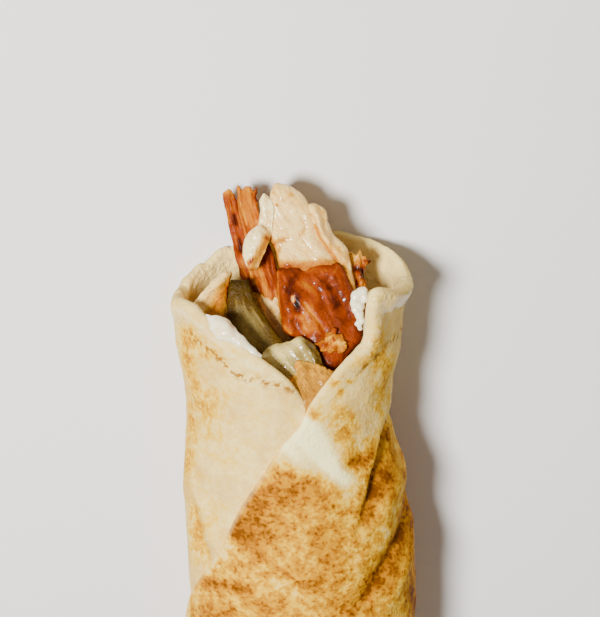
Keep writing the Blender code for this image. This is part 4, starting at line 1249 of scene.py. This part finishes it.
def bread_material(settings):
    """Baked dough: toasted outside and moist inside, with a torn rim and sauce smeared thinly on its lip."""
    material, tree, shader = new_material("flatbread")
    place = add_node(tree, "ShaderNodeUVMap", uv_map="sheet").outputs["UV"]
    wobble = add_node(tree, "ShaderNodeTexNoise", {"Vector": place, **WOBBLE_NOISE}).outputs["Color"]
    pushed = add_node(tree, "ShaderNodeVectorMath", {0: wobble, 1: WOBBLE_MIDDLE}, operation="SUBTRACT")
    moved = {0: pushed.outputs[0], 1: WOBBLE_PUSH, 2: place}
    shifted = add_node(tree, "ShaderNodeVectorMath", moved, operation="MULTIPLY_ADD").outputs[0]
    outside = toasted_colour(tree, place, shifted, settings)
    crumb = noise_node(tree, place, *CRUMB_NOISE)
    wall = mix_colours(tree, crumb, settings.wall_shade, settings.wall)
    both = mix_colours(tree, field_node(tree, "inside"), outside, wall)
    at_rim = range_node(tree, field_node(tree, "rim"), *RIM_FADE)
    rimmed = mix_colours(tree, product(tree, at_rim, RIM_STRENGTH), both, settings.rim)
    streaky = scaled_sum(tree, centred(tree, crumb), SMEAR_STREAKS, field_node(tree, "smear"))
    smeared = range_node(tree, streaky, *SMEAR_EDGE)
    colour = mix_colours(tree, product(tree, smeared, SMEAR_STRENGTH), rimmed, settings.smear)
    wet, film = sparkling(tree, place, DAMP_SCALE, field_node(tree, "moist"))
    grain, soft = bread_height(tree, place, shifted, settings)
    wetness = math_node(tree, "MAXIMUM", wet, smeared)
    dry = range_node(tree, grain, *DRY_ROUGHNESS)
    rough = {MIX_SHARE: wetness, MIX_VALUES[0]: dry, MIX_VALUES[1]: DAMP_ROUGHNESS}
    set_shader(
        tree, shader, Base_Color=colour, Roughness=add_node(tree, "ShaderNodeMix", rough).outputs[0],
        Normal=bump_node(tree, film, DAMP_HEIGHT, soft), Coat_Weight=product(tree, wetness, DAMP_COAT),
        **BREAD_SURFACE,
    )
    return material


def meat_material(name, settings, pale, wetness=0.5, streaks=1.0, clouds=0.34, grain=0.3, soft=0.0):
    """Cooked chicken: pale where it was cut, and browned to black where the grill caught it."""
    material, tree, shader = new_material(name)
    place = field_node(tree, "grain", "Vector")
    spot = object_place(tree)
    stirred = mottled(tree, place, field_node(tree, "brown"), MEAT_STIR, settings.streaks * streaks)
    cloud = centred(tree, noise_node(tree, spot, *MEAT_CLOUDS))
    cooked = scaled_sum(tree, cloud, clouds, stirred, clamp=True)
    colour = ramp_node(tree, cooked, [(0.0, pale), *named_stops(settings, MEAT_STOPS)])
    wet, film = sparkling(tree, spot, MEAT_DROPS, wetness)
    pits = noise_node(tree, spot, *MEAT_PITS)
    height = scaled_sum(tree, pits, PIT_SHARE, noise_node(tree, place, *MEAT_GRAIN))
    normal = bump_node(tree, film, JUICE_HEIGHT, bump_node(tree, height, grain))
    set_shader(
        tree, shader, Base_Color=colour, Normal=normal, Subsurface_Weight=soft,
        Specular_IOR_Level=MEAT_SPECULAR + MEAT_SOFT_SPECULAR * soft,
        Coat_Weight=scaled_sum(tree, wet, JUICE_COAT, JUICE_LEAST + soft), **MEAT_SURFACE,
    )
    return material


def pickle_material(name, settings, gloss, streaks):
    """Pickled cucumber: olive skin and pale, wet, see-through flesh."""
    material, tree, shader = new_material(name)
    place = field_node(tree, "grain", "Vector")
    spot = object_place(tree)
    stirred = mottled(tree, place, field_node(tree, "flesh"), PICKLE_STIR, streaks)
    colour = ramp_node(tree, stirred, named_stops(settings, PICKLE_STOPS))
    wet, drops = sparkling(tree, spot, PICKLE_DROPS, PICKLE_WETNESS)
    bumps = cell_node(tree, spot, PICKLE_BUMPS)
    height = scaled_sum(tree, bumps, PICKLE_BUMP_SHARE, noise_node(tree, place, *PICKLE_GRAIN))
    normal = bump_node(tree, drops, JUICE_HEIGHT, bump_node(tree, height, PICKLE_GRAIN_HEIGHT))
    film = product(tree, wet, gloss)
    set_shader(tree, shader, Base_Color=colour, Normal=normal, Coat_Weight=film, **PICKLE_SURFACE)
    return material


def sauce_material(name, settings):
    """Garlic sauce: thick, white and glossy, a little grainy where it has set."""
    material, tree, shader = new_material(name)
    spot = object_place(tree)
    swirl = range_node(tree, noise_node(tree, spot, *SAUCE_SWIRL), *SWIRL_EDGE)
    colour = mix_colours(tree, swirl, settings.sauce, settings.sauce_shade)
    grain = noise_node(tree, spot, *SAUCE_GRAIN)
    rough = range_node(tree, grain, *SAUCE_SET, settings.gloss, settings.gloss + SAUCE_DULLING)
    normal = bump_node(tree, grain, SAUCE_GRAIN_HEIGHT)
    set_shader(tree, shader, Base_Color=colour, Roughness=rough, Normal=normal, **SAUCE_SURFACE)
    return material


def floor_material(settings):
    """A plain pale surface, with a very faint unevenness."""
    material, tree, shader = new_material("floor")
    faint = noise_node(tree, object_place(tree), *FLOOR_NOISE)
    darker = tuple(FLOOR_DARKER * part for part in settings.floor)
    colour = mix_colours(tree, faint, settings.floor, darker)
    set_shader(tree, shader, Base_Color=colour, Roughness=FLOOR_ROUGHNESS)
    return material


def shade(red, green, blue):
    """A colour from its usual 0 to 255 values, as the linear values that shaders take."""
    parts = [value / 255 for value in (red, green, blue)]
    return tuple(p / 12.92 if p <= 0.04045 else ((p + 0.055) / 1.055) ** 2.4 for p in parts)


def colour_property(name, description, red, green, blue):
    """A colour that a user may change, from its usual 0 to 255 values."""
    return FloatVectorProperty(
        name=name, description=description, default=shade(red, green, blue), subtype="COLOR", size=3,
        min=0.0, max=1.0,
    )


def amount_property(name, description, default, least=0.0, most=1000.0, subtype="NONE"):
    """A number that a user may change."""
    return FloatProperty(
        name=name, description=description, default=default, min=least, max=most, subtype=subtype
    )


class GYRO_PG_bread(bpy.types.PropertyGroup):
    """Sizes and colours of the flatbread"""

    columns: IntProperty(name="Columns", description="Faces of the sheet round the roll", default=318, min=60)
    rows: IntProperty(name="Rows", description="Faces of the sheet along the roll", default=148, min=20)
    mottle: amount_property("Mottle", "How uneven the toasting is", 0.75)
    spot_spacing: amount_property("Spot Spacing", "Size of clumps of spots in mm", 3.4, 0.5)
    spot_size: amount_property("Spot Size", "Size of scorched spots in mm", 1.1, 0.2)
    grain_height: amount_property("Grain Height", "Height of the dough's grain in mm", 0.3)
    flour: colour_property("Flour", "The palest dough", 255, 244, 170)
    pale: colour_property("Pale", "Dough that the griddle missed", 232, 198, 112)
    # Painted soft shade: greyish clouds on the pale dough, in place of shallow undulations
    dull: colour_property("Dull", "Damp greyish clouds on the pale dough", 206, 166, 96)
    cream: colour_property("Cream", "Dough that is just baked", 229, 178, 40)
    golden: colour_property("Golden", "Lightly toasted dough", 203, 141, 0)
    toasted: colour_property("Toasted", "Well toasted dough", 168, 102, 0)
    scorched: colour_property("Scorched", "The brownest dough", 110, 58, 0)
    spots: colour_property("Spots", "Scorched spots", 100, 54, 0)
    freckles: colour_property("Freckles", "Specks beside the edge", 146, 92, 12)
    wall: colour_property("Wall", "The moist inner face", 255, 231, 150)
    wall_shade: colour_property("Wall Shade", "Damp places on the inner face", 246, 208, 122)
    smear: colour_property("Smear", "Sauce smeared thinly on the lip", 255, 240, 190)
    rim: colour_property("Rim", "The torn edge", 252, 226, 146)


class GYRO_PG_filling(bpy.types.PropertyGroup):
    """Sizes and colours of the chicken and the pickle"""

    voxel: amount_property("Voxel", "Size of the pieces' faces in mm", 0.4, 0.2)
    streaks: amount_property("Streaks", "How streaky the browning is", 0.42)
    milky: colour_property("Milky", "The whitest breast meat", 255, 226, 158)
    white: colour_property("White", "Breast meat where it was cut", 250, 208, 126)
    cooked: colour_property("Cooked", "Meat darkened by its juices", 160, 106, 22)
    blush: colour_property("Blush", "Pinkish meat near the skin", 240, 186, 84)
    tan: colour_property("Tan", "Meat that is barely browned", 212, 150, 36)
    golden: colour_property("Golden", "Golden browned meat", 184, 106, 0)
    roasted: colour_property("Roasted", "Spiced and browned meat", 138, 52, 0)
    dark: colour_property("Dark", "Dark crust", 76, 22, 0)
    char: colour_property("Char", "Charred crust", 26, 9, 1)
    skin_dark: colour_property("Skin Dark", "Darkest pickle skin", 40, 26, 0)
    skin: colour_property("Skin", "Pickle skin", 74, 50, 0)
    flesh_green: colour_property("Flesh Green", "Green pickle flesh", 146, 124, 62)
    flesh: colour_property("Flesh", "Pale pickle flesh", 206, 184, 108)


class GYRO_PG_sauce(bpy.types.PropertyGroup):
    """Colours and gloss of the garlic sauce"""

    voxel: amount_property("Voxel", "Size of the sauce's faces in mm", 0.3, 0.2)
    gloss: amount_property("Roughness", "Lowest roughness of the sauce", 0.14, most=1.0)
    sauce: colour_property("Sauce", "The sauce", 250, 238, 204)
    sauce_shade: colour_property("Sauce Shade", "Sauce mixed with juices", 242, 220, 166)


class GYRO_PG_stage(bpy.types.PropertyGroup):
    """The floor, the lights and the camera"""

    distance: amount_property("Distance", "Camera to roll in m", 0.62, 0.1, subtype="DISTANCE")
    tilt: FloatProperty(
        name="Tilt", description="How far the camera looks in at the mouth", default=math.radians(20),
        subtype="ANGLE",
    )
    key: amount_property("Key Light", "Power of the window light", 15.0, subtype="POWER")
    fill: amount_property("Fill Light", "Power of the fill light", 0.25, subtype="POWER")
    sky: amount_property("Sky", "Strength of the soft light from all round", 0.25)
    floor: colour_property("Floor", "Colour of the floor", 232, 229, 224)


class GYRO_OT_flatbread(bpy.types.Operator):
    """Make the rolled flatbread with its crossed lapels, ragged edge and toasted places"""

    bl_idname = "gyro.flatbread"
    bl_label = "Flatbread"

    def execute(self, context):
        settings = context.scene.gyro_bread
        faces, angle, along, to_edge = sheet_faces(settings.columns, row_shares(settings.rows + 1))
        bm = bmesh.new()
        outer, outer_rim = add_face_grid(bm, faces[0], True)
        inner, inner_rim = add_face_grid(bm, faces[1], False)
        bmesh.ops.bridge_loops(bm, edges=outer_rim + inner_rim)
        bmesh.ops.recalc_face_normals(bm, faces=bm.faces)
        bm.verts.index_update()
        order = np.array([vert.index for vert in outer + inner])
        obj = shaped_object("flatbread_sheet", bm)
        self.paint(obj.data, order, angle, along, to_edge)
        stands_for(obj, "flatbread", bread_material(settings))
        return {"FINISHED"}

    def paint(self, mesh, order, angle, along, to_edge):
        """Lays the sheet's map and its painted fields on both faces."""
        flat = laid_flat(angle, along)
        outer_turn = 1 - smooth_step(*OUTER_TURN, angle)
        # Toast, with painted shade and painted highlights among the strokes
        toast = painted_sheet(flat, OUTER_TOAST) * outer_turn
        toast += painted_sheet(flat, INNER_TOAST)
        # Painted shade: the fold valleys are browned in proportion to their depth
        toast += VALLEY_TOAST * np.clip(-fold_relief(angle, along), 0, VALLEY_DEEPEST)
        round_by = BAKED_LEAST + (1 - BAKED_LEAST) * smooth_step(*BAKED_ROUND, angle)
        toast += BAKED * outer_turn * smooth_step(*BAKED_BELOW, along) * round_by
        specks = painted_sheet(flat, [(line, SPECK_REACH, 1.0) for line in SPECK_LINES])
        moist = painted_sheet(flat, MOIST)
        smear = painted_sheet(flat, SMEAR)
        fields = {
            "toast": (toast, toast), "smear": (smear, smear), "specks": (specks, 0 * specks),
            "rim": (to_edge, to_edge), "inside": (0 * toast, 0 * toast + 1),
            "moist": (moist, moist + INNER_MOIST),
        }
        for name, pair in fields.items():
            values = np.empty(len(order))
            values[order] = np.concatenate([face.ravel() for face in pair])
            write_field(mesh, name, values)
        corners = np.empty(len(mesh.loops), int)
        mesh.loops.foreach_get("vertex_index", corners)
        places = np.empty((len(order), 2))
        places[order] = np.concatenate([flat.reshape(-1, 2)] * 2)
        mesh.uv_layers.new(name="sheet").data.foreach_set("uv", places[corners].ravel())


# Pieces of chicken: the slabs they are cut from as (outline, back, front), how their faces are worked, and
# how brown they are all over and in strokes. lumps is (height, size), fibres (turn, depth, width, length).
# On the curl and the side piece some brown strokes are partly painted shade
PIECES = (
    dict(name="chicken_breast_top", node="chicken_chunk", slabs=[(BREAST_TOP, -9, 3)], dome=1.0,
         lumps=(0.6, 6), fibres=(-52, 0.16, 1.2, 8), creases=BREAST_CREASES, base=0.02,
         strokes=BREAST_BROWN, seed=1, pale="white", grain=0.14, soft=0.25, round_by=2, softening=30),
    dict(name="chicken_breast_roasted", node="chicken_chunk", slabs=[(BREAST_ROASTED, -8, 5)],
         slope=(0, -0.1), dome=1.2, lumps=(0.5, 7), fibres=(-62, 0.12, 1.2, 6), creases=ROASTED_CREASES,
         base=0.69, strokes=ROASTED_BROWN, seed=2, pale="blush", streaks=0.6, clouds=0.42, grain=0.14,
         softening=14),
    dict(name="chicken_curl", node="chicken_curl", slabs=[(CURL_LOBE, -1, 5.5), (CURL_BAND, -6, 3.4)],
         slope=(0.1, 0), dome=0.9, lumps=(0.35, 4), fibres=(75, 0.15, 1.0, 7), creases=CURL_CREASES,
         base=0.0, strokes=CURL_BROWN, seed=3, pale="milky", grain=0.12, soft=0.3, round_by=1.8),
    dict(name="chicken_slab_face", node="chicken_slab", slabs=[(SLAB_TOP, -8, 2.6), (SLAB_EDGE, -8, 2.4)],
         slope=(-0.16, 0), dome=0.9, lumps=(0.4, 5), fibres=(-60, 0.15, 1.1, 8), creases=SLAB_CREASES,
         base=0.03, strokes=SLAB_BROWN, seed=4, pale="white", grain=0.14, soft=0.25, round_by=1.6,
         softening=20),
    dict(name="chicken_side_piece", node="chicken_side", slabs=[(SIDE_FACE, -9, 3.5)], slope=(-0.3, 0),
         dome=1.3, lumps=(0.45, 5), fibres=(35, 0.3, 1.2, 6), creases=SIDE_CREASES, base=0.03,
         strokes=SIDE_BROWN, seed=5, pale="white", round_by=3, softening=30),
    dict(name="chicken_thin_slice", node="chicken_slice", slabs=[(SLICE, -8, -2.6)], dome=0.5,
         lumps=(0.4, 4), fibres=(-58, 0.35, 1.0, 8), creases=SLICE_CREASES, base=0.03,
         strokes=SLICE_BROWN, seed=6, pale="white"),
    dict(name="chicken_front_piece", node="chicken_front", slabs=[(FRONT, 5, 12)], slope=(0, -0.1),
         dome=1.0, lumps=(0.5, 3), fibres=(-60, 0.12, 1.0, 4), creases=FRONT_CREASES, base=0.0,
         strokes=FRONT_BROWN, seed=7, pale="cooked", round_by=1.0),
    dict(name="chicken_shreds", node="chicken_crumb", slabs=[(CRUMB, 3, 8.5)], dome=1.0,
         lumps=(1.1, 1.6), fibres=(35, 0.5, 0.8, 3), creases=CRUMB_CREASES, base=0.42,
         strokes=CRUMB_BROWN, seed=8, pale="blush", round_by=0.9, voxel=0.3),
    dict(name="roast_long_strip", node="roast_strip_long", slabs=[(STRIP_LONG, -12.5, -7)], dome=0.3,
         lumps=(0.3, 4), fibres=(-72, 0.3, 0.7, 9), creases=LONG_CREASES, base=0.6,
         strokes=LONG_BROWN, seed=9, pale="blush", wetness=0.3, round_by=0.5, voxel=0.3),
    dict(name="roast_frayed_strip", node="roast_strip_frayed", slabs=[(STRIP_FRAYED, -8, -1.9)],
         dome=0.2, lumps=(0.25, 3), fibres=(-76, 0.35, 0.55, 9), creases=FRAYED_CREASES, base=0.53,
         strokes=FRAYED_BROWN, seed=10, pale="blush", wetness=0.3, round_by=0.4, voxel=0.27),
    dict(name="roast_end_piece", node="roast_end", slabs=[(END, -9, -1), (TWIG, -5, -3.4)], dome=0.4,
         lumps=(0.6, 2), fibres=(-80, 0.5, 0.7, 4), creases=END_CREASES, base=0.5,
         strokes=END_BROWN, seed=11, pale="blush", wetness=0.8, round_by=0.6, voxel=0.3),
)
MEAT_LOOKS = ("wetness", "streaks", "clouds", "grain", "soft")

# The two pieces of pickle, with how pale their flesh is all over and in strokes
PICKLES = (
    dict(name="pickle_long_spear", node="pickle_spear", slabs=[(SPEAR, -1, 5)], slope=(0.1, -0.15),
         dome=0.25, lumps=(0.2, 6), fibres=(-62, 0.08, 1.2, 9), creases=SPEAR_CREASES, base=0.18,
         strokes=SPEAR_PALE, round_by=0.6, seed=12, gloss=0.1, streaks=0.22),
    dict(name="pickle_cut_round", node="pickle_round", slabs=[(PICKLE_ROUND, 2.5, 10)],
         slope=(0.1, -0.1), dome=1.0, lumps=(0.45, 4), fibres=(-50, 0.12, 1.4, 5), creases=ROUND_CREASES,
         base=0.62, strokes=ROUND_PALE, round_by=1.4, seed=13, gloss=0.45, streaks=0.3),
)


class GYRO_OT_chicken(bpy.types.Operator):
    """Make the pieces of chicken, pale and browned, that show in the mouth"""

    bl_idname = "gyro.chicken"
    bl_label = "Chicken Pieces"

    def execute(self, context):
        settings = context.scene.gyro_filling
        for piece in PIECES:
            given = {"voxel": settings.voxel, **piece}
            pale = getattr(settings, given.pop("pale"))
            looks = {key: given.pop(key) for key in MEAT_LOOKS if key in given}
            material = meat_material(given["name"], settings, pale, **looks)
            make_piece(material=material, field="brown", **given)
        return {"FINISHED"}


class GYRO_OT_pickles(bpy.types.Operator):
    """Make the pickle spear and the pickle round"""

    bl_idname = "gyro.pickles"
    bl_label = "Pickles"

    def execute(self, context):
        settings = context.scene.gyro_filling
        for piece in PICKLES:
            given = {"voxel": settings.voxel, **piece}
            material = pickle_material(given["node"], settings, given.pop("gloss"), given.pop("streaks"))
            make_piece(material=material, field="flesh", **given)
        return {"FINISHED"}


class GYRO_OT_core(bpy.types.Operator):
    """Make the chopped roast chicken that fills the roll below the pieces on top"""

    bl_idname = "gyro.core"
    bl_label = "Roast Core"

    def execute(self, context):
        settings = context.scene.gyro_filling
        bm = bmesh.new()
        bm.from_mesh(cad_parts["chicken_core"].data)
        bmesh.ops.remove_doubles(bm, verts=bm.verts, dist=MERGE * MM)
        bmesh.ops.recalc_face_normals(bm, faces=bm.faces)
        obj = remeshed(shaped_object("chicken_core_chopped", bm, scale=1), CORE_VOXEL, CORE_SOFTENING)
        mesh = obj.data
        places = read_places(mesh)
        shown = smooth_step(*CORE_SHOWN, places[:, 1])
        lumps = CORE_LUMPS * shown * rolling_noise(places, CORE_LUMP_SIZE, octaves=3, seed=20)
        write_places(mesh, places + read_vectors(mesh, "normal") * lumps[:, None])
        write_vectors(mesh, "grain", places / CORE_GRAIN)
        write_field(mesh, "brown", CORE_BROWN + 0 * lumps)
        stands_for(obj, "chicken_core", meat_material("chicken_core", settings, settings.tan))
        return {"FINISHED"}


class GYRO_OT_sauce(bpy.types.Operator):
    """Make the garlic sauce: a bead along the left lip and a dollop at the right"""

    bl_idname = "gyro.sauce"
    bl_label = "Garlic Sauce"

    def execute(self, context):
        settings = context.scene.gyro_sauce
        material = sauce_material("garlic_sauce", settings)
        bead = edge_points(*BEAD_SPAN, BEAD_COUNT, BEAD_INWARD)
        swell = smooth_curve(BEAD_SWELL, np.linspace(*BEAD_SPAN, BEAD_COUNT))
        make_sauce("sauce_bead", "garlic_sauce_bead", bead, swell, material, settings.voxel)
        centres = [FILLING_FRAME @ Vector(centre) for centre, _ in DOLLOP]
        radii = [radius for _, radius in DOLLOP]
        make_sauce("sauce_dollop", "garlic_sauce_dollop", centres, radii, material, settings.voxel)
        return {"FINISHED"}


class GYRO_OT_stage(bpy.types.Operator):
    """Make the floor, the soft lights and the camera"""

    bl_idname = "gyro.stage"
    bl_label = "Stage"

    def execute(self, context):
        settings = context.scene.gyro_stage
        bm = bmesh.new()
        bmesh.ops.create_grid(bm, x_segments=4, y_segments=4, size=FLOOR_REACH)
        floor = shaped_object("floor", bm, scale=1)
        floor.data.materials.append(floor_material(settings))
        self.add_light("window_light", KEY_PLACE, KEY_SIZE, settings.key)
        self.add_light("fill_light", FILL_PLACE, FILL_SIZE, settings.fill)
        world = bpy.data.worlds.new("soft_light")
        world.use_nodes = True
        sky = world.node_tree.nodes["Background"]
        sky.inputs["Color"].default_value = (*SKY_COLOUR, 1)
        sky.inputs["Strength"].default_value = settings.sky
        context.scene.world = world
        self.add_camera(context.scene, settings)
        return {"FINISHED"}

    def add_light(self, name, place, size, power):
        """A round soft light that is turned to the roll."""
        light = bpy.data.lights.new(name, "AREA")
        light.shape = "DISK"
        light.size = size
        light.energy = power
        lamp = linked_object(name, light)
        lamp.location = place
        lamp.rotation_euler = (Vector(AIM) - Vector(place)).to_track_quat("-Z", "Y").to_euler()

    def add_camera(self, scene, settings):
        """A camera over the roll, with the mouth at the top of its picture."""
        data = bpy.data.cameras.new("camera")
        data.sensor_fit = "HORIZONTAL"
        data.sensor_width = SENSOR
        data.lens = SENSOR * settings.distance / PICTURE_WIDTH
        camera = linked_object("camera", data)
        back = Vector((0, math.sin(settings.tilt), math.cos(settings.tilt)))
        camera.matrix_world = Matrix.Translation(Vector(AIM) + back * settings.distance) @ Matrix.Rotation(
            -settings.tilt, 4, "X"
        )
        scene.camera = camera


class GYRO_PT_panel(bpy.types.Panel):
    """Gyro wrap"""

    bl_idname = "GYRO_PT_panel"
    bl_label = "Gyro Wrap"
    bl_space_type = "VIEW_3D"
    bl_region_type = "UI"
    bl_category = "Gyro wrap"

    def draw(self, context):
        for heading, settings, operators in PANEL_ROWS:
            box = self.layout.box()
            box.label(text=heading)
            group = getattr(context.scene, settings)
            for name in group.bl_rna.properties.keys():
                if name not in ("rna_type", "name"):
                    box.prop(group, name)
            for operator in operators:
                box.operator(operator)


GROUPS = {
    "gyro_bread": GYRO_PG_bread, "gyro_filling": GYRO_PG_filling, "gyro_sauce": GYRO_PG_sauce,
    "gyro_stage": GYRO_PG_stage,
}
OPERATORS = (
    GYRO_OT_flatbread, GYRO_OT_chicken, GYRO_OT_pickles, GYRO_OT_core, GYRO_OT_sauce, GYRO_OT_stage,
)
PANEL_ROWS = (
    ("Flatbread", "gyro_bread", ("gyro.flatbread",)),
    ("Filling", "gyro_filling", ("gyro.chicken", "gyro.pickles", "gyro.core")),
    ("Sauce", "gyro_sauce", ("gyro.sauce",)),
    ("Stage", "gyro_stage", ("gyro.stage",)),
)
CLASSES = (*GROUPS.values(), *OPERATORS, GYRO_PT_panel)


def register():
    for kind in CLASSES:
        bpy.utils.register_class(kind)
    for name, group in GROUPS.items():
        setattr(bpy.types.Scene, name, PointerProperty(type=group))


def unregister():
    for name in GROUPS:
        delattr(bpy.types.Scene, name)
    for kind in reversed(CLASSES):
        bpy.utils.unregister_class(kind)


def main():
    register()
    bpy.ops.gyro.stage()
    bpy.ops.gyro.flatbread()
    bpy.ops.gyro.chicken()
    bpy.ops.gyro.pickles()
    bpy.ops.gyro.core()
    bpy.ops.gyro.sauce()


if __name__ == "__main__":
    main()
